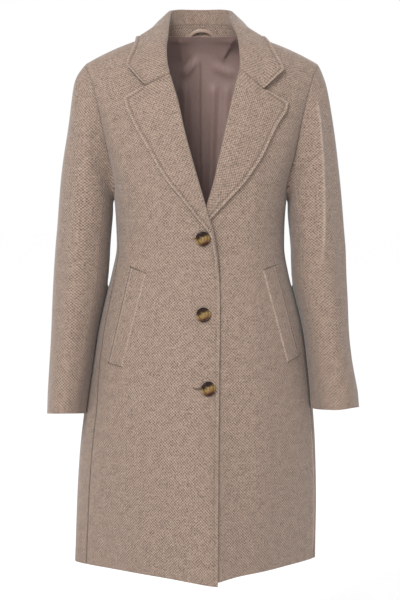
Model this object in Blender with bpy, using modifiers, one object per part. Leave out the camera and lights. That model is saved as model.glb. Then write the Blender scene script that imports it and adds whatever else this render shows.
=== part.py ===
"""Women's single-breasted coat with notched lapels, hollow as it is worn: every piece is a wall of cloth.

Metres, +Z up. The front faces -Y and +X is the wearer's left. The origin is the middle of the neck,
level with the inner ends of the shoulder seams, where the wearer holds the coat up.
"""

import bmesh
import bpy
import numpy as np
from mathutils import Vector

# Cloth and clearances
CLOTH = 0.002
TURNED_CLOTH = 0.0022
LINING_CLOTH = 0.001
SEAM_GAP = 0.0013
BUTTON_GAP = 0.0005
WELT_GAP = 0.0012
LINING_GAP = 0.001
ARMHOLE_GAP = 0.0014
GORGE_GAP = 0.0009
STAND_GAP = 0.0008

# Heights
HEM = -0.9222
UNDERARM = -0.286
SHOULDER = 0.0055
SHOULDER_SEAM = 0.0053

# Shape of the rings
KEEL_ROUND = 0.16
HEM_KEEL_ROUND = 0.05
BACK_BOW = -0.12
HEM_DIP = 0.0115
HEM_TILT = 0.0035
DIP_TOP = -0.60
KEEL_LEAN = 0.18
LEFT_HEM_RISE = 0.0066
LEFT_RISE_START = 0.125
LEFT_RISE_FULL = 0.015
NECK_BACK = -0.017
NECK_ANGLE = np.radians(18.3)
NECK_CURVE = 2.2
NAPE_RISE = 0.014
NAPE_WIDTH = 0.055
NAPE_LOW = -0.10
NAPE_FULL = -0.014

# Front overlap: the left front lies under the right one
OVERLAP_DEPTH = 0.0048
ROLL_ROOM = 0.0030
OVERLAP_INNER = 0.035
OVERLAP_OUTER = 0.10
OVERLAP_TOP = -0.20
OVERLAP_FULL = -0.30
ROLL_ROOM_LOW = -0.45
ROLL_ROOM_FULL = -0.39

# Turned edges: lapels and the collar's front ends roll round the edge of the front
ROLL_RADIUS = 0.0043
ROLL_CENTRE = -0.0009
ROLL_SETBACK = 0.0052
SETBACK_LOW = -0.415
SETBACK_FULL = -0.392
TURNED_INSIDE = 0.006
FACING_WIDTH = 0.012
BEND_SHARE = 2 / 3

# Buttons
BUTTON_RADIUS = 0.0122
BUTTON_THICK = 0.0042
BUTTON_RIM = 0.0028
BUTTON_DISH = 0.0012
BUTTON_SLOPE = 0.0012
BUTTON_LIP = 0.0010
BUTTON_LIP_DROP = 0.0002
BUTTON_RIM_DROP = 0.0003
BUTTON_ROUNDING = 0.0012
BUTTON_WAIST = 0.0019
BUTTON_UNDERCUT = 0.0030
BUTTON_HOLE_RADIUS = 0.0011
BUTTON_HOLE_SPREAD = 0.0026
BUTTON_HOLE_SIDES = 8
BUTTON_STEPS = 28

# Hanger loop
LOOP_RADIUS = 0.0021
LOOP_HALF_SPAN = 0.024
LOOP_FOOT = (0.0598, -0.0060)
LOOP_TOP = (0.0595, 0.0120)
LOOP_ARCH = 2.4
LOOP_POINTS = 13

# Colours in sRGB
WOOL_COLOUR = (0.64, 0.57, 0.51)
SATIN_COLOUR = (0.46, 0.37, 0.35)
HORN_COLOUR = (0.24, 0.15, 0.09)
WOOL_ROUGHNESS = 0.95
SATIN_ROUGHNESS = 0.45
HORN_ROUGHNESS = 0.25

# Steps of the searches that settle a level or an edge
LEVEL_ROUNDS = 30
EDGE_ROUNDS = 4
TINY = 1e-5


def columns(names, *rows):
    """The named columns of a short table, each as an array."""
    return dict(zip(names.split(), np.array(rows, float).T))


# Rings of the coat from hem to shoulder. Level is the height before the shoulder's crown is taken off.
BODY = columns(
    "level half_width front back bow crown sway",
    (-0.930, 0.2125, 0.168, 0.142, 0.80, 0.000, -0.0118),
    (-0.820, 0.2110, 0.163, 0.140, 0.58, 0.000, -0.0090),
    (-0.735, 0.2075, 0.158, 0.136, 0.40, 0.000, -0.0072),
    (-0.660, 0.2010, 0.152, 0.131, 0.28, 0.000, -0.0051),
    (-0.564, 0.1865, 0.144, 0.123, 0.15, 0.000, -0.0026),
    (-0.516, 0.1790, 0.139, 0.118, 0.08, 0.000, -0.0022),
    (-0.463, 0.1665, 0.132, 0.110, 0.00, 0.000, -0.0024),
    (-0.418, 0.1545, 0.126, 0.102, -0.05, 0.000, -0.0027),
    (-0.367, 0.1460, 0.122, 0.097, -0.10, 0.000, -0.0020),
    (-0.330, 0.1468, 0.124, 0.101, -0.12, 0.000, -0.0022),
    (-0.275, 0.1515, 0.127, 0.108, -0.15, 0.030, -0.0020),
    (-0.200, 0.1700, 0.121, 0.112, -0.18, 0.450, 0.0000),
    (-0.120, 0.1920, 0.104, 0.107, -0.20, 0.950, 0.0000),
    (-0.073, 0.2070, 0.090, 0.099, -0.20, 1.200, 0.0000),
    (-0.043, 0.2170, 0.074, 0.088, -0.20, 1.320, 0.0000),
    (-0.024, 0.2235, 0.058, 0.0745, -0.20, 1.390, 0.0000),
    (-0.009, 0.2300, 0.041, 0.055, -0.20, 1.420, 0.0000),
    (0.0005, 0.2345, 0.023, 0.034, -0.20, 1.440, 0.0000),
    (0.0055, 0.2360, 0.000, 0.000, -0.20, 1.450, 0.0000),
)

# Armhole from the shoulder point (share 0) to the underarm (share 1): degrees from the centre front and back
ARMHOLE = columns(
    "share level front rear",
    (0.00, 0.0055, 59.1, 59.1),
    (0.12, -0.022, 59.5, 58.3),
    (0.25, -0.065, 60.9, 58.6),
    (0.42, -0.113, 63.8, 60.3),
    (0.60, -0.172, 68.5, 63.4),
    (0.74, -0.219, 72.0, 66.5),
    (0.86, -0.261, 75.5, 71.0),
    (0.94, -0.280, 81.0, 77.5),
    (1.00, -0.286, 90.0, 90.0),
)

# Side seams, degrees from the centre front
SIDE_SEAM = columns(
    "level right left",
    (-0.930, 64, 80),
    (-0.820, 63, 79),
    (-0.660, 62, 76),
    (-0.564, 68, 78),
    (-0.463, 70, 80),
    (-0.367, 76, 82),
    (-0.286, 82, 84),
)

# Front edges: straight below the break point, the lapel's roll line above it
EDGE_RIGHT = columns(
    "height across",
    (-0.940, 0.0270),
    (-0.655, 0.0290),
    (-0.461, 0.0308),
    (-0.392, 0.0280),
    (-0.351, 0.0224),
    (-0.309, 0.0107),
    (-0.246, -0.0077),
    (-0.204, -0.0195),
    (-0.165, -0.0296),
    (-0.119, -0.0397),
    (-0.075, -0.0532),
    (-0.0525, -0.0579),
    (-0.0293, -0.0600),
    (-0.011, -0.0620),
    (0.000, -0.0694),
)
EDGE_LEFT = columns(
    "height across",
    (-0.940, -0.0290),
    (-0.430, -0.0290),
    (-0.371, -0.0145),
    (-0.329, -0.0020),
    (-0.291, 0.0097),
    (-0.259, 0.0194),
    (-0.220, 0.0280),
    (-0.172, 0.0388),
    (-0.123, 0.0496),
    (-0.089, 0.0580),
    (-0.067, 0.0639),
    (-0.054, 0.0648),
    (-0.033, 0.0640),
    (-0.0115, 0.0640),
    (0.000, 0.0694),
)

# Lapels: the roll line and the outer edge at matching rows, from the lower end to the gorge seam
LAPEL_RIGHT = columns(
    "roll_height edge_across edge_height",
    (-0.387, 0.0210, -0.385),
    (-0.353, 0.0158, -0.352),
    (-0.342, 0.0121, -0.343),
    (-0.331, 0.0048, -0.333),
    (-0.311, -0.0107, -0.314),
    (-0.279, -0.0342, -0.284),
    (-0.243, -0.0600, -0.252),
    (-0.213, -0.0745, -0.228),
    (-0.186, -0.0880, -0.203),
    (-0.161, -0.0995, -0.183),
    (-0.138, -0.1100, -0.164),
    (-0.118, -0.1175, -0.149),
    (-0.099, -0.1240, -0.134),
    (-0.075, -0.1283, -0.1163),
)
LAPEL_LEFT = columns(
    "roll_height edge_across edge_height",
    (-0.288, 0.0205, -0.3140),
    (-0.259, 0.0451, -0.2880),
    (-0.226, 0.0710, -0.2585),
    (-0.198, 0.0868, -0.2350),
    (-0.173, 0.1014, -0.2115),
    (-0.146, 0.1150, -0.1830),
    (-0.119, 0.1278, -0.1575),
    (-0.092, 0.1400, -0.1370),
    (-0.067, 0.1427, -0.1232),
)
NOTCH_RIGHT = (-0.0943, -0.0958)
NOTCH_LEFT = (0.1029, -0.1014)

# Collar's front ends, from the shoulder to the gorge: the line runs roll, bend, edge
COLLAR_RIGHT = columns(
    "roll_across roll_height bend_across bend_height edge_across edge_height",
    (-0.0577, -0.0110, -0.0920, -0.0190, -0.1134, -0.0240),
    (-0.0593, -0.0293, -0.0960, -0.0420, -0.1181, -0.0401),
    (-0.0579, -0.0525, -0.0970, -0.0690, -0.1217, -0.0535),
    (-0.0532, -0.0750, *NOTCH_RIGHT, -0.1242, -0.0640),
)
COLLAR_LEFT = columns(
    "roll_across roll_height bend_across bend_height edge_across edge_height",
    (0.0622, -0.0115, 0.0975, -0.0200, 0.1170, -0.0246),
    (0.0640, -0.0330, 0.1020, -0.0460, 0.1232, -0.0382),
    (0.0648, -0.0540, 0.1040, -0.0760, 0.1307, -0.0578),
    (0.0639, -0.0670, *NOTCH_LEFT, 0.1364, -0.0715),
)

# Collar round the back of the neck, from the shoulder to the centre back: neck seam, fold and edge
COLLAR_BACK = columns(
    "neck_x neck_y neck_z roll_x roll_y roll_z edge_x edge_y edge_z",
    (0.0715, 0.0000, -0.0010, 0.0535, 0.0000, 0.0180, 0.1105, 0.0015, -0.0085),
    (0.0620, 0.0342, -0.0030, 0.0525, 0.0220, 0.0295, 0.1085, 0.0310, -0.0140),
    (0.0390, 0.0548, -0.0032, 0.0515, 0.0470, 0.0415, 0.0960, 0.0590, -0.0160),
    (0.0245, 0.0620, -0.0030, 0.0300, 0.0700, 0.0470, 0.0530, 0.0885, -0.0290),
    (0.0000, 0.0660, -0.0022, 0.0000, 0.0765, 0.0470, 0.0000, 0.0945, -0.0300),
)
COLLAR_FOLD_OUT = 0.0070
COLLAR_FOLD_DROP = 0.0022
COLLAR_CREST = 0.6
COLLAR_BULGE = 0.0040
COLLAR_SHIFT = -0.0020
COLLAR_SEAM_SHARE = 0.45
COLLAR_FOLD_SHARE = 0.82
COLLAR_ROWS = 2

# Fall of the collar from its fold to its edge: share of the way and share of the bulge
FALL = columns(
    "share bulge",
    (1 / 3, 1.0),
    (2 / 3, 0.7),
    (5 / 6, 0.35),
    (1.0, 0.0),
)

# Sleeve rings from below the armhole to the cuff, for a sleeve on the +X side
SLEEVE = columns(
    "outer_x outer_z inner_x inner_z middle_y half_depth pitch lean",
    (0.2160, -0.081, 0.1520, -0.296, 0.000, 0.059, 0.00, 0.0028),
    (0.2310, -0.168, 0.1522, -0.307, 0.001, 0.068, 0.00, 0.0010),
    (0.2420, -0.251, 0.1530, -0.321, 0.002, 0.071, 0.00, 0.0019),
    (0.2490, -0.334, 0.1550, -0.342, 0.001, 0.071, 0.00, 0.0018),
    (0.2525, -0.376, 0.1578, -0.378, -0.001, 0.070, 0.00, 0.0019),
    (0.2546, -0.418, 0.1596, -0.418, -0.004, 0.068, 0.00, 0.0026),
    (0.2567, -0.463, 0.1683, -0.463, -0.008, 0.065, 0.00, 0.0026),
    (0.2586, -0.516, 0.1803, -0.516, -0.014, 0.061, 0.02, 0.0026),
    (0.2622, -0.564, 0.1878, -0.564, -0.020, 0.058, 0.05, 0.0014),
    (0.2694, -0.629, 0.1978, -0.629, -0.028, 0.056, 0.10, -0.0020),
    (0.2712, -0.659, 0.2022, -0.659, -0.032, 0.055, 0.13, -0.0026),
)
LEFT_CUFF_RISE = 0.006
RISE_TOP = -0.55
CUFF = -0.659
SLEEVE_FRONT_SEAM = 0.74
SLEEVE_BACK_SEAM = 0.60
SLEEVE_SEAM_GAP = 0.0045

# Corners of the pocket welts, seen from the front, in the order of the seam ring
WELT_RIGHT = columns(
    "across height",
    (-0.1633, -0.5660),
    (-0.1337, -0.5715),
    (-0.0917, -0.4110),
    (-0.1240, -0.3995),
)
WELT_LEFT = columns(
    "across height",
    (0.1452, -0.5650),
    (0.1697, -0.5555),
    (0.1287, -0.3970),
    (0.1023, -0.4065),
)

BUTTONS = columns(
    "across height",
    (0.0018, -0.352),
    (0.0030, -0.479),
    (0.0109, -0.602),
)

# Rows of the panels: below the underarm by level, above it by the armhole's share
SKIRT_LEVELS = (
    *(HEM, -0.90, -0.82, -0.74, -0.659, -0.612, -0.564, -0.516, -0.463),
    *(-0.418, SETBACK_FULL, -0.367, -0.33, -0.30),
)
ARM_SHARES = np.array((1.0, 0.94, 0.86, 0.80, 0.74, 0.67, 0.60, 0.51, 0.42, 0.335, 0.25, 0.185, 0.12, 0.04))
FRONT_COLUMNS = 9
FACING_COLUMNS = 3
SIDE_TURN = np.radians(12)
SLEEVE_ROWS = (0, 0.5, 1, 1.5, 2, 3, 4, 5, 6, 7, 8, 9, 10, 11)
LAPEL_SHARES = (2 / 9, 4 / 9, 2 / 3, 7 / 9, 8 / 9, 1.0)


def follow(places, values, at):
    """Smooth curve through the rows of a table that never runs past them: Hermite with limited slopes."""
    places = np.asarray(places, float)
    values = np.asarray(values, float)
    at = np.clip(np.asarray(at, float), places[0], places[-1])
    extra = (1,) * (values.ndim - 1)
    steps = np.diff(places).reshape((-1,) + extra)
    rises = np.diff(values, axis=0) / steps
    before = rises[:-1]
    after = rises[1:]
    same_way = before * after > 0
    total = np.where(same_way, before + after, 1.0)
    inner = np.where(same_way, 2 * before * after / total, 0.0)
    slopes = np.concatenate([rises[:1], inner, rises[-1:]])
    index = np.clip(np.searchsorted(places, at, side="right") - 1, 0, len(places) - 2)
    step = steps[index]
    share = ((at - places[index]).reshape(at.shape + extra)) / step
    rest = 1 - share
    return (
        values[index] * rest**2 * (1 + 2 * share)
        + values[index + 1] * share**2 * (1 + 2 * rest)
        + step * share * rest * (slopes[index] * rest - slopes[index + 1] * share)
    )


def ring(name, level):
    """One column of the ring table at the given levels."""
    return follow(BODY["level"], BODY[name], level)


def fade(value, start, end):
    """Smooth step from 0 at start to 1 at end."""
    share = np.clip((value - start) / (end - start), 0, 1)
    return share * share * (3 - 2 * share)


def lowness(level):
    """0 above the skirt's lower part, growing to 1 at the hem."""
    return np.clip((DIP_TOP - level) / (DIP_TOP - HEM), 0, 1) ** 2


def body(angle, level):
    """Outer face of the coat: an ellipse blended with a straight-sided bow in front, by angle and level.

    The angle runs from the centre front towards the wearer's left. Low down the bow's middle moves to the
    front edge and gets sharper, and the hem dips there.
    """
    angle, level = np.broadcast_arrays(np.asarray(angle, float), np.asarray(level, float))
    swing = np.sin(angle)
    across = ring("half_width", level) * swing
    facing = np.cos(angle)
    low = lowness(level)
    lean = np.where(facing > 0, KEEL_LEAN * low, 0)
    turn = np.abs(swing - lean) / np.where(swing > lean, 1 - lean, 1 + lean)
    rounding = np.where(facing > 0, KEEL_ROUND + (HEM_KEEL_ROUND - KEEL_ROUND) * low, KEEL_ROUND)
    keel = (np.hypot(turn, rounding) - rounding) / (np.hypot(1, rounding) - rounding)
    bow = ring("bow", level)
    forward = ring("front", level) * ((1 - bow) * facing + bow * (1 - keel))
    rearward = ring("back", level) * ((1 - BACK_BOW) * -facing + BACK_BOW * (1 - keel))
    depth = np.where(facing > 0, -forward, rearward)
    dip = np.where(facing > 0, HEM_DIP * low * (1 - keel) ** np.where(swing > lean, 4, 2), 0)
    dip = dip - HEM_TILT * low * swing
    nape = NAPE_RISE * np.exp(-((across / NAPE_WIDTH) ** 2))
    nape = nape * fade(level, SHOULDER, NAPE_FULL) * fade(level, NAPE_LOW, NAPE_FULL)
    height = level - ring("crown", level) * across**2 - dip + np.where(facing > 0, 0, nape)
    return np.stack([across + ring("sway", level), depth, height], axis=-1)


def moved_out(angle, level, lift):
    """Point of the coat's outer face moved out along the face's normal."""
    angle, level, lift = np.broadcast_arrays(angle, level, np.asarray(lift, float))
    along = body(angle + TINY, level) - body(angle - TINY, level)
    upward = body(angle, level + TINY) - body(angle, level - TINY)
    normal = np.cross(along, upward)
    normal /= np.linalg.norm(normal, axis=-1, keepdims=True)
    return body(angle, level) + lift[..., None] * normal


def level_at(across, height):
    """Level of the ring that passes a front point given by its place across and its height."""
    level = height + 0 * across
    for _ in range(LEVEL_ROUNDS):
        level = height + ring("crown", level) * across**2
    return np.minimum(level, SHOULDER_SEAM)


def under_overlap(across, level):
    """How far the left front lies below the right one."""
    deep = OVERLAP_DEPTH + ROLL_ROOM * fade(level, ROLL_ROOM_LOW, ROLL_ROOM_FULL)
    return deep * fade(across, OVERLAP_OUTER, OVERLAP_INNER) * fade(level, OVERLAP_TOP, OVERLAP_FULL)


def on_front(across, height, lift, left=False):
    """Point on a front, given by its place across and its height, moved out by the lift."""
    across, height, lift = np.broadcast_arrays(
        np.asarray(across, float), np.asarray(height, float), np.asarray(lift, float)
    )
    level = level_at(across, height)
    angle = np.arcsin(np.clip((across - ring("sway", level)) / ring("half_width", level), -1, 1))
    down = under_overlap(across, level) if left else 0.0
    return moved_out(angle, level, lift - down)


def edge_angle(level, edge, side):
    """Ring angle of a front's edge at each level, set back where the lapel rolls round it."""
    height = np.array(level)
    for _ in range(EDGE_ROUNDS):
        across = follow(edge["height"], edge["across"], height)
        across = across + side * ROLL_SETBACK * fade(height, SETBACK_LOW, SETBACK_FULL)
        height = level - ring("crown", level) * across**2
    return np.arcsin((across - ring("sway", level)) / ring("half_width", level))


def armhole_angle(level, face):
    """Ring angle of the armhole at a level above the underarm, from the centre front or the centre back."""
    return np.radians(follow(ARMHOLE["level"][::-1], ARMHOLE[face][::-1], level))


def side_angle(level, side_name):
    """Ring angle of the outer edge of a front: the side seam, and the armhole above the underarm."""
    seam = np.radians(follow(SIDE_SEAM["level"], SIDE_SEAM[side_name], level))
    return np.where(level > UNDERARM, armhole_angle(level, "front"), seam)


def back_start(level, side_name):
    """Ring angle where the back begins: the side seam, and the back of the armhole above the underarm."""
    seam = np.radians(follow(SIDE_SEAM["level"], SIDE_SEAM[side_name], level))
    return np.where(level > UNDERARM, np.pi - armhole_angle(level, "rear"), seam)


def neck_level(angle):
    """Top level of the back at a ring angle: the shoulder seam, scooped out for the neck."""
    from_middle = np.minimum(np.abs(np.pi - angle) / NECK_ANGLE, 1)
    return NECK_BACK + (SHOULDER_SEAM - NECK_BACK) * from_middle**NECK_CURVE


def spread(start, end, count):
    """Evenly spaced columns from start to end on every row."""
    share = np.linspace(0, 1, count + 1)
    return start[:, None] + (end - start)[:, None] * share


def spread_to_ends(start, end, count):
    """Columns from start to end on every row, closer together towards both ends."""
    even = np.linspace(0, 1, count + 1)
    share = (even + (1 - np.cos(np.pi * even)) / 2) / 2
    return start[:, None] + (end - start)[:, None] * share


def gap_angle(level):
    """Half a seam gap as an angle on the ring."""
    return SEAM_GAP / 2 / ring("half_width", level)


def panel_levels():
    """Levels of the panels' rows from the hem to the shoulder seam."""
    upper = follow(ARMHOLE["share"], ARMHOLE["level"], ARM_SHARES)
    return np.concatenate([SKIRT_LEVELS, upper, [SHOULDER_SEAM]])


def front_panel(side_name, lift):
    """Grid of a front: from its edge to the side seam and armhole, columns in the order of the angle."""
    left = side_name == "left"
    side = 1 if left else -1
    levels = panel_levels()
    edge = edge_angle(levels, EDGE_LEFT if left else EDGE_RIGHT, side)
    outer = side * (side_angle(levels, side_name) - gap_angle(levels))
    ends = (edge, outer) if left else (outer, edge)
    angles = spread_to_ends(*ends, FRONT_COLUMNS)
    rows = np.broadcast_to(levels[:, None], angles.shape)
    if not left:
        return moved_out(angles, rows, lift)
    across = body(angles, rows)[..., 0]
    points = moved_out(angles, rows, lift - under_overlap(across, rows))
    points[..., 2] += LEFT_HEM_RISE * lowness(rows) * fade(across, LEFT_RISE_START, LEFT_RISE_FULL)
    return points


def back_panel(lift):
    """Grid of the back from the left side seam round the centre back to the right one."""
    levels = panel_levels()
    share = np.clip((levels - UNDERARM) / (SHOULDER_SEAM - UNDERARM), 0, 1)
    middle = np.full_like(levels, np.pi)
    halves = []
    for side_name in ("left", "right"):
        start = back_start(levels, side_name) + gap_angle(levels)
        widest = np.maximum(np.pi / 2, start + SIDE_TURN)
        halfway = (widest + np.pi) / 2
        neck = halfway + (np.pi - NECK_ANGLE - halfway) * share
        parts = [spread(start, widest, 2), spread(widest, neck, 3)[:, 1:], spread(neck, middle, 3)[:, 1:]]
        halves.append(np.hstack(parts))
    angles = np.hstack([halves[0], 2 * np.pi - halves[1][:, -2::-1]])
    rise = (levels - UNDERARM)[:, None]
    stretch = (neck_level(angles) - UNDERARM) / (SHOULDER_SEAM - UNDERARM)
    rows = UNDERARM + np.where(rise > 0, rise * stretch, rise)
    return moved_out(angles, rows, lift)


def armhole(around, side):
    """Armhole edge by the angle round the sleeve: 0 at the shoulder, quarter turn in front."""
    level = follow(ARMHOLE["share"], ARMHOLE["level"], np.abs(around) / np.pi)
    front = armhole_angle(level, "front")
    rear = np.pi - armhole_angle(level, "rear")
    edge = body(np.where(around >= 0, front, rear), level)
    edge[..., 0] += ARMHOLE_GAP + (side - 1) * ring("sway", level)
    return edge


def sleeve(around, along, side):
    """Sleeve of one side: the armhole lofted through the ring table, by angle round and ring number.

    Rings run from the outer to the inner point; both lean towards the wearer's right with the body.
    """
    rings = [armhole(around, side)]
    for row in zip(*SLEEVE.values()):
        outer_x, outer_z, inner_x, inner_z, middle_y, half_depth, pitch, lean = row
        outer_x = outer_x - side * lean
        inner_x = inner_x + side * ring("sway", inner_z)
        rise = LEFT_CUFF_RISE * fade(inner_z, RISE_TOP, CUFF) if side > 0 else 0.0
        swing = np.cos(around)
        deep = -half_depth * np.sin(around)
        across = (outer_x + inner_x) / 2 + (outer_x - inner_x) / 2 * swing
        height = (outer_z + inner_z) / 2 + (outer_z - inner_z) / 2 * swing - pitch * deep + rise
        rings.append(np.stack([across, middle_y + deep, height], axis=-1))
    points = follow(np.arange(len(rings)), np.array(rings), np.asarray(along, float))
    points[..., 0] *= side
    return points if side > 0 else points[:, ::-1]


def sleeve_columns():
    """Angles round the sleeve of the top sleeve's and the under sleeve's columns, on the armhole's rows."""
    rear = -ARM_SHARES[::-1]
    top = np.concatenate([rear, [0], ARM_SHARES])
    top = np.sort(top[(top > -SLEEVE_BACK_SEAM) & (top < SLEEVE_FRONT_SEAM)])
    top = np.concatenate([[-SLEEVE_BACK_SEAM + SLEEVE_SEAM_GAP], top, [SLEEVE_FRONT_SEAM - SLEEVE_SEAM_GAP]])
    front = np.sort(ARM_SHARES[ARM_SHARES > SLEEVE_FRONT_SEAM])
    back = -ARM_SHARES[(ARM_SHARES > SLEEVE_BACK_SEAM) & (ARM_SHARES < 1)]
    ends = (SLEEVE_FRONT_SEAM + SLEEVE_SEAM_GAP, -SLEEVE_BACK_SEAM - SLEEVE_SEAM_GAP)
    under = np.concatenate([[ends[0]], front, back, [ends[1]]])
    return np.pi * top, np.pi * under


def turned(roll, bend, edge, inside, shares, left):
    """Rows of a turned edge: along the inside, round the roll and out over the front to the edge.

    Roll, bend and edge are places (across, height) of one row each; shares place the outer columns
    on the line from roll over bend to edge.
    """
    start = bend - roll
    start /= np.linalg.norm(start, axis=1, keepdims=True)
    far_in = np.stack([inside, np.full_like(inside, ROLL_RADIUS)], axis=1)
    sweep = np.radians([-45, 0, 45])
    around = np.broadcast_to(ROLL_RADIUS * (1 - np.cos(sweep)), (len(roll), 3))
    along = np.hstack([far_in, around, np.full((len(roll), 1), ROLL_RADIUS)])
    first = roll[:, None] + along[..., None] * start[:, None]
    begin = first[:, -1:]
    shares = np.array(shares)[None, :, None]
    near = begin + (bend[:, None] - begin) * shares / BEND_SHARE
    far = bend[:, None] + (edge - bend)[:, None] * (shares - BEND_SHARE) / (1 - BEND_SHARE)
    outer = np.where(shares <= BEND_SHARE, near, far)
    places = np.concatenate([first, outer], axis=1)
    low = ROLL_CENTRE - ROLL_RADIUS
    high = ROLL_CENTRE + ROLL_RADIUS
    lift = np.concatenate([[low, low], ROLL_CENTRE + ROLL_RADIUS * np.sin(sweep), [high] * (1 + shares.size)])
    return on_front(places[..., 0], places[..., 1], lift, left)


def lapel(table, edge, notch, left):
    """Grid of a lapel: the front's facing turned out along the roll line, cut off below the gorge seam."""
    roll_height = table["roll_height"]
    roll = np.stack([follow(edge["height"], edge["across"], roll_height), roll_height], axis=1)
    rim = np.stack([table["edge_across"], table["edge_height"]], axis=1)
    bend = roll + (rim - roll) * BEND_SHARE
    bend[-1] = notch
    roll[-1, 1] -= GORGE_GAP
    bend[-1, 1] -= GORGE_GAP
    width = np.linalg.norm(rim - roll, axis=1)
    inside = np.minimum(FACING_WIDTH, TURNED_INSIDE + width)
    points = turned(roll, bend, rim, inside, LAPEL_SHARES, left)
    return points if left else points[:, ::-1]


def collar_front(table, left):
    """Rows of a collar end on the front, from the shoulder to the gorge seam."""
    roll = np.stack([table["roll_across"], table["roll_height"]], axis=1)
    bend = np.stack([table["bend_across"], table["bend_height"]], axis=1)
    edge = np.stack([table["edge_across"], table["edge_height"]], axis=1)
    inside = np.full(len(roll), TURNED_INSIDE)
    return turned(roll, bend, edge, inside, FALL["share"], left)


def collar_back(side):
    """Rows of the collar from the shoulder to the centre back: up the stand, over the fold, down the fall."""
    rows = []
    for row in zip(*COLLAR_BACK.values()):
        neck, roll, edge = np.array(row).reshape(3, 3)
        roll[0] += side * COLLAR_SHIFT
        edge[0] += side * COLLAR_SHIFT
        outward = (edge - neck) * (1, 1, 0)
        outward /= np.linalg.norm(outward)
        fold = roll + outward * COLLAR_FOLD_OUT - np.array((0, 0, COLLAR_FOLD_DROP))
        crest = (roll + fold) / 2 + np.array((0, 0, COLLAR_FOLD_DROP * COLLAR_CREST))
        seam = neck + (roll - neck) * COLLAR_SEAM_SHARE
        near_fold = neck + (roll - neck) * COLLAR_FOLD_SHARE
        bulge = (outward + np.array((0, 0, 1))) * COLLAR_BULGE / np.sqrt(2)
        fall = [fold + (edge - fold) * share + bulge * part for share, part in zip(*FALL.values())]
        rows.append([neck, seam, near_fold, roll, crest, fold, *fall])
    return np.array(rows) * (side, 1, 1)


def collar_grid(rows_per_station):
    """Whole collar from the left gorge seam round the back of the neck to the right one."""
    left = np.concatenate([collar_front(COLLAR_LEFT, True)[::-1], collar_back(1)])
    right = np.concatenate([collar_back(-1)[-2::-1], collar_front(COLLAR_RIGHT, False)])
    stations = np.concatenate([left, right])
    places = np.arange(len(stations))
    fine = np.linspace(0, len(stations) - 1, (len(stations) - 1) * rows_per_station + 1)
    return follow(places, stations, fine)


def new_collection(name):
    collection = bpy.data.collections.new(name)
    bpy.context.scene.collection.children.link(collection)
    return collection


def new_material(name, colour, roughness):
    """Principled material from an sRGB colour."""
    shade = bpy.data.materials.new(name)
    shade.use_nodes = True
    linear = [((c + 0.055) / 1.055) ** 2.4 for c in colour]
    settings = shade.node_tree.nodes["Principled BSDF"].inputs
    settings["Base Color"].default_value = (*linear, 1)
    settings["Roughness"].default_value = roughness
    settings["Metallic"].default_value = 0
    shade.diffuse_color = (*linear, 1)
    return shade


def new_object(name, data, material, collection):
    thing = bpy.data.objects.new(name, data)
    data.materials.append(material)
    collection.objects.link(thing)
    return thing


def wall(name, points, thickness, material, collection):
    """Wall of cloth: a grid through the points of its outer face, thickened inwards."""
    rows, places = points.shape[:2]
    grid = bmesh.new()
    bmesh.ops.create_grid(grid, x_segments=places - 1, y_segments=rows - 1, size=0.5)
    for vertex in grid.verts:
        row = round((vertex.co.y + 0.5) * (rows - 1))
        place = round((vertex.co.x + 0.5) * (places - 1))
        vertex.co = Vector(points[row, place])
    mesh = bpy.data.meshes.new(name)
    grid.to_mesh(mesh)
    grid.free()
    thing = new_object(name, mesh, material, collection)
    thicken = thing.modifiers.new("cloth", "SOLIDIFY")
    thicken.thickness = thickness
    thicken.offset = -1
    return thing


def welt_grid(corners, left, across_count=4, up_count=10):
    """Grid of a pocket welt on a front between its four corners."""
    places = np.stack([corners["across"], corners["height"]], axis=1)
    side_share = np.linspace(0, 1, across_count + 1)[None, :, None]
    up_share = np.linspace(0, 1, up_count + 1)[:, None, None]
    lower = places[0] + (places[1] - places[0]) * side_share
    upper = places[3] + (places[2] - places[3]) * side_share
    grid = lower + (upper - lower) * up_share
    return on_front(grid[..., 0], grid[..., 1], WELT_GAP + CLOTH, left)


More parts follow.
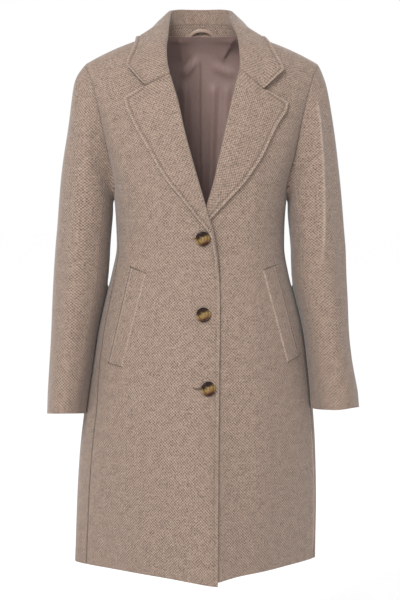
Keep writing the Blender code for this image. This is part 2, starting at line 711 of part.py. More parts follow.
def button(name, across, height, material, collection, cutters):
    """Four-hole button with a raised rim, turned about its axis and seated on the right front."""
    dish = BUTTON_RADIUS - BUTTON_RIM
    profile = [
        (0, BUTTON_THICK - BUTTON_DISH),
        (dish - BUTTON_SLOPE, BUTTON_THICK - BUTTON_DISH),
        (dish, BUTTON_THICK - BUTTON_LIP_DROP),
        (dish + BUTTON_LIP, BUTTON_THICK),
        (BUTTON_RADIUS - BUTTON_ROUNDING, BUTTON_THICK - BUTTON_RIM_DROP),
        (BUTTON_RADIUS, BUTTON_THICK - BUTTON_ROUNDING),
        (BUTTON_RADIUS, BUTTON_WAIST),
        (BUTTON_RADIUS - BUTTON_UNDERCUT, 0),
        (0, 0),
    ]
    mesh = bpy.data.meshes.new(name)
    edges = [(i, i + 1) for i in range(len(profile) - 1)]
    mesh.from_pydata([(r, 0, z) for r, z in profile], edges, [])
    disc = new_object(name, mesh, material, collection)
    turning = disc.modifiers.new("turned", "SCREW")
    turning.steps = BUTTON_STEPS
    turning.render_steps = BUTTON_STEPS
    turning.use_merge_vertices = True
    turning.merge_threshold = 0.00001
    seat = on_front(across, height, BUTTON_GAP)
    normal = Vector(on_front(across, height, 1.0) - on_front(across, height, 0.0))
    disc.rotation_euler = normal.to_track_quat("Z", "Y").to_euler()
    disc.location = Vector(seat)
    bpy.context.view_layer.update()
    for number in range(4):
        turn = np.pi / 4 + number * np.pi / 2
        cutter_mesh = bpy.data.meshes.new(f"{name}_hole_{number}")
        pin = bmesh.new()
        bmesh.ops.create_cone(
            pin,
            cap_ends=True,
            segments=BUTTON_HOLE_SIDES,
            radius1=BUTTON_HOLE_RADIUS,
            radius2=BUTTON_HOLE_RADIUS,
            depth=BUTTON_THICK * 3,
        )
        pin.to_mesh(cutter_mesh)
        pin.free()
        cutter = bpy.data.objects.new(cutter_mesh.name, cutter_mesh)
        cutters.objects.link(cutter)
        offset = Vector((np.cos(turn), np.sin(turn), 0)) * BUTTON_HOLE_SPREAD
        cutter.location = disc.matrix_world @ offset
        cutter.rotation_euler = disc.rotation_euler
        cutter.hide_render = True
        cutter.display_type = "WIRE"
        cut = disc.modifiers.new("hole", "BOOLEAN")
        cut.object = cutter
        cut.operation = "DIFFERENCE"
        cut.solver = "EXACT"
    return disc


def hanger_loop(name, material, collection):
    """Cord arch in front of the collar stand, with its feet at the neck seam."""
    curve = bpy.data.curves.new(name, "CURVE")
    curve.dimensions = "3D"
    curve.bevel_depth = LOOP_RADIUS
    curve.bevel_resolution = 2
    curve.use_fill_caps = True
    spline = curve.splines.new("POLY")
    spline.points.add(LOOP_POINTS - 1)
    for number, share in enumerate(np.linspace(-1, 1, LOOP_POINTS)):
        arch = 1 - abs(share) ** LOOP_ARCH
        depth = LOOP_FOOT[0] + (LOOP_TOP[0] - LOOP_FOOT[0]) * arch
        height = LOOP_FOOT[1] + (LOOP_TOP[1] - LOOP_FOOT[1]) * arch
        spline.points[number].co = (LOOP_HALF_SPAN * share, depth, height, 1)
    return new_object(name, curve, material, collection)


def main():
    for thing in list(bpy.data.objects):
        bpy.data.objects.remove(thing, do_unlink=True)
    coat = new_collection("single_breasted_coat")
    cutters = new_collection("cutters")
    wool = new_material("wool_twill", WOOL_COLOUR, WOOL_ROUGHNESS)
    satin = new_material("lining_satin", SATIN_COLOUR, SATIN_ROUGHNESS)
    horn = new_material("button_horn", HORN_COLOUR, HORN_ROUGHNESS)

    # Fronts, back and sleeves
    wall("front_right", front_panel("right", 0.0), CLOTH, wool, coat)
    wall("front_left", front_panel("left", 0.0), CLOTH, wool, coat)
    wall("back", back_panel(0.0), CLOTH, wool, coat)
    top_columns, under_columns = sleeve_columns()
    for side_name, side in (("right", -1), ("left", 1)):
        wall(f"top_sleeve_{side_name}", sleeve(top_columns, SLEEVE_ROWS, side), CLOTH, wool, coat)
        wall(f"under_sleeve_{side_name}", sleeve(under_columns, SLEEVE_ROWS, side), CLOTH, wool, coat)

    # Lapels, collar and stand
    wall("lapel_right", lapel(LAPEL_RIGHT, EDGE_RIGHT, NOTCH_RIGHT, False), TURNED_CLOTH, wool, coat)
    wall("lapel_left", lapel(LAPEL_LEFT, EDGE_LEFT, NOTCH_LEFT, True), TURNED_CLOTH, wool, coat)
    whole = collar_grid(COLLAR_ROWS)
    wall("collar", whole[:, 1:], TURNED_CLOTH, wool, coat)
    first = len(COLLAR_LEFT["roll_across"]) * COLLAR_ROWS
    stand = whole[first:-first, :2].copy()
    downward = stand[:, 0] - stand[:, 1]
    stand[:, 1] += STAND_GAP * downward / np.linalg.norm(downward, axis=1, keepdims=True)
    wall("collar_stand", stand, TURNED_CLOTH, wool, coat)

    # Pocket welts, buttons and hanger loop
    wall("welt_right", welt_grid(WELT_RIGHT, False), CLOTH, wool, coat)
    wall("welt_left", welt_grid(WELT_LEFT, True), CLOTH, wool, coat)
    names = ("button_top", "button_middle", "button_bottom")
    for name, across, height in zip(names, BUTTONS["across"], BUTTONS["height"]):
        button(name, across, height, horn, coat, cutters)
    hanger_loop("hanger_loop", satin, coat)

    # Lining: the panels' own points moved in, from the row above the hem to the row below the shoulder seam
    inner = -(CLOTH + LINING_GAP)
    wall("lining_right", front_panel("right", inner)[1:-1, :-FACING_COLUMNS], LINING_CLOTH, satin, coat)
    wall("lining_left", front_panel("left", inner)[1:-1, FACING_COLUMNS:], LINING_CLOTH, satin, coat)
    wall("lining_back", back_panel(inner)[1:-1], LINING_CLOTH, satin, coat)


main()
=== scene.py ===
"""Looks of a women's single-breasted coat of two-tone wool twill with a satin lining, worn and hollow.

Metres, +Z up. The front faces -Y and +X is the wearer's left. Every cloth piece is a thin shell on the form
of its solid, with seams turned in, stitched edges and soft folds worked in as relief.
"""

import bpy
import numpy as np
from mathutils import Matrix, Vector


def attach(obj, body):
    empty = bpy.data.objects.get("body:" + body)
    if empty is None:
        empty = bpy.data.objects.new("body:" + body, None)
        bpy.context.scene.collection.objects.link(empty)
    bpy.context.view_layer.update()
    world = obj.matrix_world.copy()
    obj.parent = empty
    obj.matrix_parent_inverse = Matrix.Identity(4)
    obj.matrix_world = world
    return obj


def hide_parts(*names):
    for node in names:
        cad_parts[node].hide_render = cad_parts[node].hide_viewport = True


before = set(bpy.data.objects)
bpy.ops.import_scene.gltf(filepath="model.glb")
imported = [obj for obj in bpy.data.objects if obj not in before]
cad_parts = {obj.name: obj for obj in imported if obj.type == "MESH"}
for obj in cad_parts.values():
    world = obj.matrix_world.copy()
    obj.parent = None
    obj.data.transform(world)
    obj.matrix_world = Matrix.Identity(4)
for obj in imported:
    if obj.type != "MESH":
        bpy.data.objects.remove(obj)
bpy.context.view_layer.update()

# Sides of the wearer, by name and by the sign of X
SIDES = (("right", -1), ("left", 1))

# Cloth
CLOTH = 0.002
TURNED_CLOTH = 0.0022
LINING_CLOTH = 0.001
LINING_GAP = 0.001
WELT_LIFT = 0.0032

# Heights
HEM = -0.9222
UNDERARM = -0.286
SHOULDER = 0.0055
SHOULDER_SEAM = 0.00545

# Shape of the rings
KEEL_ROUND = 0.16
HEM_KEEL_ROUND = 0.05
BACK_BOW = -0.12
HEM_DIP = 0.0115
LEFT_DIP_SHARP = 4
RIGHT_DIP_SHARP = 2
HEM_TILT = 0.0035
DIP_TOP = -0.60
KEEL_LEAN = 0.18
LEFT_HEM_RISE = 0.0066
LEFT_RISE_START = 0.125
LEFT_RISE_FULL = 0.015
NECK_BACK = -0.017
NECK_ANGLE = np.radians(18.3)
NECK_CURVE = 2.2
NAPE_RISE = 0.014
NAPE_WIDTH = 0.055
NAPE_LOW = -0.10
NAPE_FULL = -0.014

# Front overlap: the left front lies under the right one
OVERLAP_DEPTH = 0.0048
ROLL_ROOM = 0.0030
OVERLAP_INNER = 0.035
OVERLAP_OUTER = 0.10
OVERLAP_TOP = -0.20
OVERLAP_FULL = -0.30
ROLL_ROOM_LOW = -0.45
ROLL_ROOM_FULL = -0.39

# Turned edges: lapels and the collar's front ends roll round the edge of the front
ROLL_RADIUS = 0.0043
ROLL_CENTRE = -0.0009
ROLL_SETBACK = 0.0052
SETBACK_LOW = -0.415
SETBACK_FULL = -0.392
TURNED_INSIDE = 0.006
FACING_WIDTH = 0.012
BEND_SHARE = 2 / 3
GORGE_GAP = 0.0004
LAPEL_END = -0.418
LAPEL_FULL = -0.372
FLUSH_RADIUS = 0.0006
FLUSH_CENTRE = -0.0012

# Stitched edges and seams
STITCH_PLACE = 0.0064
STITCH_WIDE = 0.0011
STITCH_DEEP = 0.0008
EDGE_PUFF = 0.0007
RIM_PLACE = 0.0014
RIM_WIDE = 0.0016
RIM_RISE = 0.0010
# Painted highlight along the rolled rim of a stitched edge
RIM_PAINTED_HIGHLIGHT = 0.12
EDGE_LIFT = 0.0010
EDGE_LIFT_WIDE = 0.018
NOTCH_LIFT = 0.0060
NOTCH_SPREAD = 0.035
SEAM_DEEP = 0.0012
SEAM_WIDE = 0.0018
GORGE_DEEP = 0.0006

# Sleeves lie against the coat's sides below the waist, where cosine and sine round them pass these limits
CONTACT_TOP = -0.425
CONTACT_FULL = -0.458
CONTACT_GAP = 0.0006
CONTACT_INNER = 0.35
CONTACT_INNER_FULL = 0.85
CONTACT_FRONT = 0.35
CONTACT_FRONT_FULL = -0.15

# Steps of the searches that settle a level or an edge, and of the fine lines that rows are read from
LEVEL_ROUNDS = 30
EDGE_ROUNDS = 4
HALVINGS = 22
DENSE = 400
LEVEL_STEPS = 1600
RING_STEPS = 1200
TINY = 1e-5
SMALLEST = 1e-15


def columns(names, *rows):
    """The named columns of a short table, each as an array."""
    return dict(zip(names.split(), np.array(rows, float).T))


# Rings of the coat from hem to shoulder. Level is the height before the shoulder's crown is taken off.
BODY = columns(
    "level half_width front back bow crown sway",
    (-0.930, 0.2125, 0.168, 0.142, 0.80, 0.000, -0.0118),
    (-0.820, 0.2110, 0.163, 0.140, 0.58, 0.000, -0.0090),
    (-0.735, 0.2075, 0.158, 0.136, 0.40, 0.000, -0.0072),
    (-0.660, 0.2010, 0.152, 0.131, 0.28, 0.000, -0.0051),
    (-0.564, 0.1865, 0.144, 0.123, 0.15, 0.000, -0.0026),
    (-0.516, 0.1790, 0.139, 0.118, 0.08, 0.000, -0.0022),
    (-0.463, 0.1665, 0.132, 0.110, 0.00, 0.000, -0.0024),
    (-0.418, 0.1545, 0.126, 0.102, -0.05, 0.000, -0.0027),
    (-0.367, 0.1460, 0.122, 0.097, -0.10, 0.000, -0.0020),
    (-0.330, 0.1468, 0.124, 0.101, -0.12, 0.000, -0.0022),
    (-0.275, 0.1515, 0.127, 0.108, -0.15, 0.030, -0.0020),
    (-0.200, 0.1700, 0.121, 0.112, -0.18, 0.450, 0.0000),
    (-0.120, 0.1920, 0.104, 0.107, -0.20, 0.950, 0.0000),
    (-0.073, 0.2070, 0.090, 0.099, -0.20, 1.200, 0.0000),
    (-0.043, 0.2170, 0.074, 0.088, -0.20, 1.320, 0.0000),
    (-0.024, 0.2235, 0.058, 0.0745, -0.20, 1.390, 0.0000),
    (-0.009, 0.2300, 0.041, 0.055, -0.20, 1.420, 0.0000),
    (0.0005, 0.2345, 0.023, 0.034, -0.20, 1.440, 0.0000),
    (0.0055, 0.2360, 0.000, 0.000, -0.20, 1.450, 0.0000),
)

# Armhole from the shoulder point (share 0) to the underarm (share 1): degrees from the centre front and back
ARMHOLE = columns(
    "share level front rear",
    (0.00, 0.0055, 59.1, 59.1),
    (0.12, -0.022, 59.5, 58.3),
    (0.25, -0.065, 60.9, 58.6),
    (0.42, -0.113, 63.8, 60.3),
    (0.60, -0.172, 68.5, 63.4),
    (0.74, -0.219, 72.0, 66.5),
    (0.86, -0.261, 75.5, 71.0),
    (0.94, -0.280, 81.0, 77.5),
    (1.00, -0.286, 90.0, 90.0),
)

# Side seams, degrees from the centre front
SIDE_SEAM = columns(
    "level right left",
    (-0.930, 64, 80),
    (-0.820, 63, 79),
    (-0.660, 62, 76),
    (-0.564, 68, 78),
    (-0.463, 70, 80),
    (-0.367, 76, 82),
    (-0.320, 81, 84),
    (-0.286, 90, 90),
)

# Front edges: straight below the break point, the lapel's roll line above it
EDGE_RIGHT = columns(
    "height across",
    (-0.940, 0.0270),
    (-0.655, 0.0290),
    (-0.461, 0.0308),
    (-0.392, 0.0280),
    (-0.351, 0.0224),
    (-0.309, 0.0107),
    (-0.246, -0.0077),
    (-0.204, -0.0195),
    (-0.165, -0.0296),
    (-0.119, -0.0397),
    (-0.075, -0.0532),
    (-0.0525, -0.0579),
    (-0.0293, -0.0600),
    (-0.011, -0.0620),
    (0.000, -0.0694),
)
EDGE_LEFT = columns(
    "height across",
    (-0.940, -0.0290),
    (-0.430, -0.0290),
    (-0.371, -0.0145),
    (-0.329, -0.0020),
    (-0.291, 0.0097),
    (-0.259, 0.0194),
    (-0.220, 0.0280),
    (-0.172, 0.0388),
    (-0.123, 0.0496),
    (-0.089, 0.0580),
    (-0.067, 0.0639),
    (-0.054, 0.0648),
    (-0.033, 0.0640),
    (-0.0115, 0.0640),
    (0.000, 0.0694),
)

# Lapels: the roll line and the outer edge at matching rows, from the lower end to the gorge seam
LAPEL_RIGHT = columns(
    "roll_height edge_across edge_height",
    (-0.418, 0.0231, -0.4165),
    (-0.387, 0.0213, -0.385),
    (-0.353, 0.0158, -0.352),
    (-0.342, 0.0121, -0.343),
    (-0.331, 0.0048, -0.333),
    (-0.311, -0.0107, -0.314),
    (-0.279, -0.0342, -0.284),
    (-0.243, -0.0600, -0.252),
    (-0.213, -0.0745, -0.228),
    (-0.186, -0.0880, -0.203),
    (-0.161, -0.0995, -0.183),
    (-0.138, -0.1100, -0.164),
    (-0.118, -0.1175, -0.149),
    (-0.099, -0.1240, -0.134),
    (-0.075, -0.1283, -0.1163),
)
LAPEL_LEFT = columns(
    "roll_height edge_across edge_height",
    (-0.318, -0.0041, -0.3400),
    (-0.288, 0.0205, -0.3140),
    (-0.259, 0.0451, -0.2880),
    (-0.226, 0.0710, -0.2585),
    (-0.198, 0.0868, -0.2350),
    (-0.173, 0.1014, -0.2115),
    (-0.146, 0.1150, -0.1830),
    (-0.119, 0.1278, -0.1575),
    (-0.092, 0.1400, -0.1370),
    (-0.067, 0.1427, -0.1232),
)
NOTCH_RIGHT = (-0.0943, -0.0958)
NOTCH_LEFT = (0.1029, -0.1014)

# Collar's front ends, from the shoulder to the gorge: the line runs roll, bend, edge
COLLAR_RIGHT = columns(
    "roll_across roll_height bend_across bend_height edge_across edge_height",
    (-0.0577, -0.0110, -0.0920, -0.0190, -0.1134, -0.0240),
    (-0.0593, -0.0293, -0.0960, -0.0420, -0.1181, -0.0401),
    (-0.0579, -0.0525, -0.0970, -0.0690, -0.1217, -0.0535),
    (-0.0532, -0.0750, *NOTCH_RIGHT, -0.1242, -0.0640),
)
COLLAR_LEFT = columns(
    "roll_across roll_height bend_across bend_height edge_across edge_height",
    (0.0622, -0.0115, 0.0975, -0.0200, 0.1170, -0.0246),
    (0.0640, -0.0330, 0.1020, -0.0460, 0.1232, -0.0382),
    (0.0648, -0.0540, 0.1040, -0.0760, 0.1307, -0.0578),
    (0.0639, -0.0670, *NOTCH_LEFT, 0.1364, -0.0715),
)

# Collar round the back of the neck, from the shoulder to the centre back: neck seam, fold and edge
COLLAR_BACK = columns(
    "neck_x neck_y neck_z roll_x roll_y roll_z edge_x edge_y edge_z",
    (0.0715, 0.0000, -0.0010, 0.0535, 0.0000, 0.0180, 0.1105, 0.0015, -0.0085),
    (0.0620, 0.0342, -0.0030, 0.0525, 0.0220, 0.0295, 0.1085, 0.0310, -0.0140),
    (0.0390, 0.0548, -0.0032, 0.0515, 0.0470, 0.0415, 0.0960, 0.0590, -0.0160),
    (0.0245, 0.0620, -0.0030, 0.0300, 0.0700, 0.0470, 0.0530, 0.0885, -0.0290),
    (0.0000, 0.0660, -0.0022, 0.0000, 0.0765, 0.0470, 0.0000, 0.0945, -0.0300),
)
COLLAR_FOLD_OUT = 0.0070
COLLAR_FOLD_DROP = 0.0022
COLLAR_CREST = 0.6
COLLAR_BULGE = 0.0040
COLLAR_SHIFT = -0.0020
COLLAR_SEAM_SHARE = 0.45
COLLAR_FOLD_SHARE = 0.82

# Columns of a turned piece by number: 0 to 1 inside, 1 to 5 round the roll, 5 to 9 out to the edge
FALL = columns(
    "share bulge",
    (1 / 3, 1.0),
    (2 / 3, 0.7),
    (5 / 6, 0.35),
    (1.0, 0.0),
)
ROLL_START = 1
ROLL_END = 5
BEND_COLUMN = 7
LAST_COLUMN = 9

# Sleeve rings from below the armhole to the cuff, for a sleeve on the +X side
SLEEVE = columns(
    "outer_x outer_z inner_x inner_z middle_y half_depth pitch lean",
    (0.2160, -0.081, 0.1520, -0.296, 0.000, 0.059, 0.00, 0.0028),
    (0.2310, -0.168, 0.1522, -0.307, 0.001, 0.068, 0.00, 0.0010),
    (0.2420, -0.251, 0.1530, -0.321, 0.002, 0.071, 0.00, 0.0019),
    (0.2490, -0.334, 0.1550, -0.342, 0.001, 0.071, 0.00, 0.0018),
    (0.2525, -0.376, 0.1578, -0.378, -0.001, 0.070, 0.00, 0.0019),
    (0.2546, -0.418, 0.1596, -0.418, -0.004, 0.068, 0.00, 0.0026),
    (0.2567, -0.463, 0.1683, -0.463, -0.008, 0.065, 0.00, 0.0026),
    (0.2586, -0.516, 0.1803, -0.516, -0.014, 0.061, 0.02, 0.0026),
    (0.2622, -0.564, 0.1878, -0.564, -0.020, 0.058, 0.05, 0.0014),
    (0.2694, -0.629, 0.1978, -0.629, -0.028, 0.056, 0.10, -0.0020),
    (0.2712, -0.659, 0.2022, -0.659, -0.032, 0.055, 0.13, -0.0026),
)
# Middle line of a sleeve, about which its cloth is measured
SLEEVE_MIDDLE = columns(
    "height across depth",
    (-0.680, 0.2360, -0.030),
    (-0.420, 0.2070, -0.004),
    (-0.250, 0.1950, 0.000),
    (0.020, 0.1750, 0.000),
)
SLEEVE_RADIUS = 0.055
LEFT_CUFF_RISE = 0.006
RISE_TOP = -0.55
CUFF = -0.659
CUFF_BOW_OUTER = 0.0055
CUFF_BOW_INNER = 0.0030
CUFF_BOW_TOP = -0.60
CUFF_BOW_OUTER_START = 0.4
CUFF_BOW_INNER_START = 0.35
SLEEVE_FRONT_SEAM = 0.74
SLEEVE_BACK_SEAM = 0.60

# Corners of the pocket welts, seen from the front, in the order of the seam ring
WELT_RIGHT = columns(
    "across height",
    (-0.1633, -0.5660),
    (-0.1337, -0.5715),
    (-0.0917, -0.4110),
    (-0.1240, -0.3995),
)
WELT_LEFT = columns(
    "across height",
    (0.1452, -0.5650),
    (0.1697, -0.5555),
    (0.1287, -0.3970),
    (0.1023, -0.4065),
)

# Buttons, and how far the middle of the buttonhole lies to the side of each
BUTTONS = columns(
    "across height hole_shift",
    (0.0018, -0.352, -0.0062),
    (0.0030, -0.479, -0.0008),
    (0.0109, -0.602, -0.0130),
)
BUTTON_TOP = 0.0047
BUTTON_DISH = 0.0012
BUTTON_HOLE_SPREAD = 0.0026
RIM_GROOVE = 0.0082

# Hanger loop
LOOP_HALF_SPAN = 0.024
LOOP_FOOT = (0.0598, -0.0060)
LOOP_TOP = (0.0595, 0.0120)
LOOP_ARCH = 2.4
LOOP_HALF_WIDE = 0.0029
LOOP_HALF_THICK = 0.0010
LOOP_DROP = 0.0030
LOOP_SEAT = 0.0020
LOOP_TUCK = 0.0050

# Distances of the fine columns from an edge or seam
NEAR_EDGE = np.array((0, 0.3, 0.7, 1.2, 2, 3, 4, 5, 5.7, 6.4, 7.1, 8, 10)) / 1000
NEAR_SEAM = np.array((0, 0.8, 1.6, 2.6, 4, 6, 9)) / 1000
NEAR_HEM = NEAR_EDGE[:5]

# Soft folds, each a ridge or trough between two places: width is its spread, rise its height
FRONT_FOLDS = columns(
    "start_across start_height end_across end_height width rise",
    (-0.150, -0.310, -0.085, -0.395, 0.016, -0.0014),
    (-0.140, -0.360, -0.100, -0.400, 0.013, 0.0010),
    (-0.095, -0.590, -0.110, -0.930, 0.030, 0.0024),
    (-0.045, -0.640, -0.050, -0.930, 0.026, -0.0016),
    (-0.164, -0.100, -0.132, -0.270, 0.015, 0.0016),
    (0.150, -0.310, 0.085, -0.395, 0.016, -0.0014),
    (0.135, -0.350, 0.095, -0.390, 0.013, 0.0010),
    (0.100, -0.590, 0.115, -0.930, 0.030, 0.0022),
    (0.060, -0.610, 0.062, -0.930, 0.024, -0.0018),
    (0.162, -0.100, 0.128, -0.270, 0.015, 0.0018),
)
BACK_FOLDS = columns(
    "start_across start_height end_across end_height width rise",
    (-0.110, -0.090, -0.060, -0.330, 0.024, 0.0024),
    (0.105, -0.100, 0.060, -0.320, 0.026, 0.0022),
    (-0.120, -0.350, -0.030, -0.385, 0.013, -0.0016),
    (0.120, -0.360, 0.040, -0.392, 0.013, -0.0016),
    (-0.090, -0.470, -0.110, -0.930, 0.032, 0.0042),
    (-0.040, -0.560, -0.045, -0.930, 0.028, -0.0030),
    (0.010, -0.480, 0.014, -0.930, 0.030, 0.0036),
    (0.060, -0.560, 0.066, -0.930, 0.028, -0.0030),
    (0.115, -0.480, 0.130, -0.930, 0.032, 0.0040),
)
LINING_FOLDS = columns(
    "start_across start_height end_across end_height width rise",
    (-0.034, -0.070, -0.008, -0.040, 0.0060, -0.0040),
    (-0.030, -0.050, -0.016, -0.036, 0.0050, 0.0030),
    (0.060, -0.024, 0.044, -0.052, 0.0060, 0.0020),
    (0.020, -0.052, 0.060, -0.068, 0.0060, -0.0034),
    (-0.030, -0.085, -0.026, -0.300, 0.0080, -0.0036),
    (0.022, -0.085, 0.016, -0.300, 0.0070, -0.0036),
    (0.046, -0.085, 0.034, -0.300, 0.0080, -0.0030),
    (-0.080, -0.060, -0.070, -0.400, 0.0140, -0.0030),
    (0.085, -0.060, 0.075, -0.400, 0.0140, -0.0030),
)
# Tucks in the lining below the neck: the cloth beside each line stands out towards the middle
LINING_TUCKS = columns(
    "start_across start_height end_across end_height width rise side",
    (-0.0430, -0.004, -0.0335, -0.054, 0.010, 0.0042, -1),
    (0.0610, -0.004, 0.0370, -0.044, 0.010, 0.0038, 1),
)

# Distances from a seam and depths at the back over which folds come in, and the limit of the lining's
FOLD_CLEAR = 0.02
SLEEVE_FOLD_CLEAR = 0.01
LINING_FOLD_CLEAR = 0.006
BACK_FOLD_DEPTH = 0.05
LINING_FOLD_DEPTH = 0.03
LINING_PROUD = 0.0006

# Ridge beside the left side seam, low on the skirt
SIDE_RIDGE_START = -0.62
SIDE_RIDGE_FULL = -0.72
SIDE_RIDGE_LOW = -0.88
SIDE_RIDGE_END = -0.915
SIDE_RIDGE_PLACE = 0.006
SIDE_RIDGE_WIDE = 0.005
SIDE_RIDGE_RISE = 0.0022
# Painted highlight along the ridge's crest
SIDE_RIDGE_PAINTED_HIGHLIGHT = 0.25
SIDE_RIDGE_HIGHLIGHT_WIDE = 0.0022

# Sleeve folds by degrees round the sleeve and ring number, width in degrees
SLEEVE_FOLDS_LEFT = columns(
    "around first last width rise",
    (46, 0.8, 6.2, 12, -0.0026),
    (100, 1.0, 8.0, 16, -0.0016),
    (20, 3.0, 10, 14, 0.0012),
    (-60, 1.0, 8.0, 16, 0.0022),
    (-95, 2.0, 9.0, 14, -0.0018),
)
SLEEVE_FOLDS_RIGHT = columns(
    "around first last width rise",
    (50, 1.5, 8.5, 14, -0.0018),
    (82, 0.8, 9.5, 13, 0.0016),
    (114, 2.0, 10, 13, -0.0012),
    (15, 2.0, 10, 14, 0.0010),
    (-60, 1.0, 8.0, 16, 0.0022),
    (-95, 2.0, 9.0, 14, -0.0018),
)
SLEEVE_FOLD_START = 0.6
SLEEVE_FOLD_END = 1.0

# Pressed crease down the front of the left sleeve, from the shoulder point
CREASE = columns(
    "ring around",
    (0.0, 12),
    (0.5, 40),
    (1.0, 57),
    (2.3, 69),
    (4.0, 79),
    (6.0, 90),
)
CREASE_START = 0.3
CREASE_FULL = 1.2
CREASE_FADE = 4.2
CREASE_END = 6.0
CREASE_WIDE = 5.0
CREASE_RISE = 0.0036
CREASE_SHARP = 1.1
# Painted highlight along the crease's crest
CREASE_PAINTED_HIGHLIGHT = 0.16
CREASE_HIGHLIGHT_WIDE = 3.0

# Short folds at the back of the elbows
ELBOW_FOLDS = columns(
    "around ring width rise slope",
    (-120, 5.6, 0.30, 0.0016, 0.006),
    (-125, 6.4, 0.28, 0.0018, -0.005),
    (-120, 7.2, 0.28, 0.0012, 0.004),
)
ELBOW_SPREAD = 45

# Tones of the wool: above 0 the cloth is darker, as a seam with painted shade, below 0 lighter as a painted
# highlight
# Seam lines: the seam's own dark line together with painted shade in its ditch
SEAM_DARK_AND_SHADE = 0.30
SEAM_TONE_WIDE = 0.0010
SIDE_SEAM_DARK_AND_SHADE = 0.85
SIDE_TONE_WIDE = 0.0014
# Painted shade in the groove of a topstitched line
STITCH_PAINTED_SHADE = 0.42
STITCH_TONE_WIDE = 0.0010
# Gorge and neck seams: dark seam line together with painted shade
GORGE_DARK_AND_SHADE = 0.4
NECK_SEAM_DARK_AND_SHADE = 0.5
# Painted shade over the collar's inside and the whole stand, where the neck's inside gets less light
COLLAR_INSIDE_PAINTED_SHADE = 0.06
STAND_PAINTED_SHADE = 0.10
# The stand's seam to the collar and its stitch line: dark seam and stitching together with painted shade
STAND_SEAM_DARK_AND_SHADE = 0.25
STAND_SEAM_WIDE = 0.0008
STAND_STITCH_DARK_AND_SHADE = 0.2
STAND_STITCH_PLACE = 0.0045
STAND_STITCH_WIDE = 0.0006

# Shares of the full relief or tone
SHOULDER_SEAM_SHARE = 0.8
LEFT_SLEEVE_SEAM = 0.20
FRONT_EDGE_RELIEF = 0.5
FRONT_EDGE_TONE = 0.3
FLAT_RELIEF = 0.5
FLAT_TONE = 0.3
LAPEL_NOTCH_SHARE = 0.5
FOLDED_SHARE = 0.9

# Relief and tone of the lines along a pocket welt, by distance from its inner (0) or outer (1) long side
# Tone above 0 is painted shade in the stitched grooves, below 0 a painted highlight along the ridges
WELT_LINES = columns(
    "outer place width rise tone",
    (0, 0.0000, 0.0018, -0.0022, 0.00),
    (1, 0.0000, 0.0022, -0.0022, 0.00),
    (1, 0.0016, 0.0011, -0.0010, 0.80),
    (1, 0.0076, 0.0011, -0.0010, 0.80),
    (0, 0.0026, 0.0016, 0.0008, 0.00),
    (0, 0.0022, 0.0014, 0.0000, -0.14),
    (1, 0.0042, 0.0012, 0.0000, -0.16),
    (1, 0.0102, 0.0012, 0.0000, -0.16),
)
WELT_SINK = 0.0016
# Painted shade at the welt's ends, where the slits are
WELT_END_PAINTED_SHADE = 0.8
WELT_END_WIDE = 0.0012
WELT_STITCH = 0.0076

# Lining: hem, turn at the neck seam, pleat at the centre back, the facing's share and the rows kept
LINING_LIFT = -(CLOTH + LINING_GAP)
LINING_HEM_RISE = 0.022
LINING_FRONT = 0.0036
LINING_LAP = 0.0012
LINING_TURN = 0.006
PLEAT_PLACE = -0.0015
PLEAT_WIDE = 0.012
PLEAT_TOP = -0.035
PLEAT_FULL = -0.055
PLEAT_RISE = 0.0040
FACING_SHARE = 0.34
LINING_ROWS = slice(9, -3, 2)

# Rows and columns of the grids, and the ring angles of the grain lines along which rows are spaced
FRONT_GRAIN = np.radians(32)
FRONT_ROWS = 190
FRONT_COLUMNS = 84
BACK_GRAIN = np.pi - 0.5
BACK_ROWS = 170
BACK_COLUMNS = 130
SLEEVE_ROWS = 130
SLEEVE_SEAM_COLUMNS = np.array((0.0, 0.006, 0.014, 0.026))
CREASE_COLUMNS = np.arange(36.0, 92.0)
CREASE_CLEAR = 0.03
SLEEVE_PIECES = (
    ("top", -SLEEVE_BACK_SEAM, SLEEVE_FRONT_SEAM, 84),
    ("under", SLEEVE_FRONT_SEAM, 2 - SLEEVE_BACK_SEAM, 40),
)
LAPEL_ROWS = 100
COLLAR_FRONT_ROWS = 24
COLLAR_BACK_ROWS = 14
STAND_ROWS = 120
STAND_COLUMNS = 34
WELT_ROWS = 60
WELT_COLUMNS = 8

# Columns of the turned pieces by number, finer at the edge, and shares of their last rows at the gorge
NEAR_LAST = 8
OUTER_NUMBERS = np.concatenate(
    [
        np.linspace(ROLL_END, BEND_COLUMN, 17),
        np.linspace(BEND_COLUMN, NEAR_LAST, 8)[1:],
        np.linspace(NEAR_LAST, LAST_COLUMN, 15)[1:-1],
        (8.96, 8.975, 8.99, LAST_COLUMN),
    ]
)
LAPEL_NUMBERS = np.concatenate(
    [np.linspace(0, ROLL_START, 4)[:-1], np.linspace(ROLL_START, ROLL_END, 13)[:-1], OUTER_NUMBERS]
)
COLLAR_NUMBERS = np.concatenate(
    [(1.0, 1.015, 1.04, 1.09), np.linspace(1.2, ROLL_END, 17)[:-1], OUTER_NUMBERS]
)
END_ROWS = np.concatenate([np.linspace(0, 1, 19)[1:-1], (0.965, 0.985, 1.0)])

# Roll of the turned pieces in degrees, the blend into the fall, and the loft of the cloth beside the roll
ROLL_STEP = 45
ROLL_FIRST = -90
FALL_BLEND = 0.6
LAPEL_LOFT = 0.0010
COLLAR_LOFT = 0.0008
LOFT_REACH = 0.625

# Stitches
STITCH_RINGS = 5
STITCH_SIDES = 6
STITCH_SQUARE = 0.6
STITCH_LENGTH = 0.0030
STITCH_PITCH = 0.0042
STITCH_RADIUS = 0.00032
STITCH_END_ROWS = 8

# Twill lines and the floats across them, drawn about twice as coarse as the cloth so that they show
TWILL_PITCH = 0.0048
FLOAT_PITCH = 0.0053

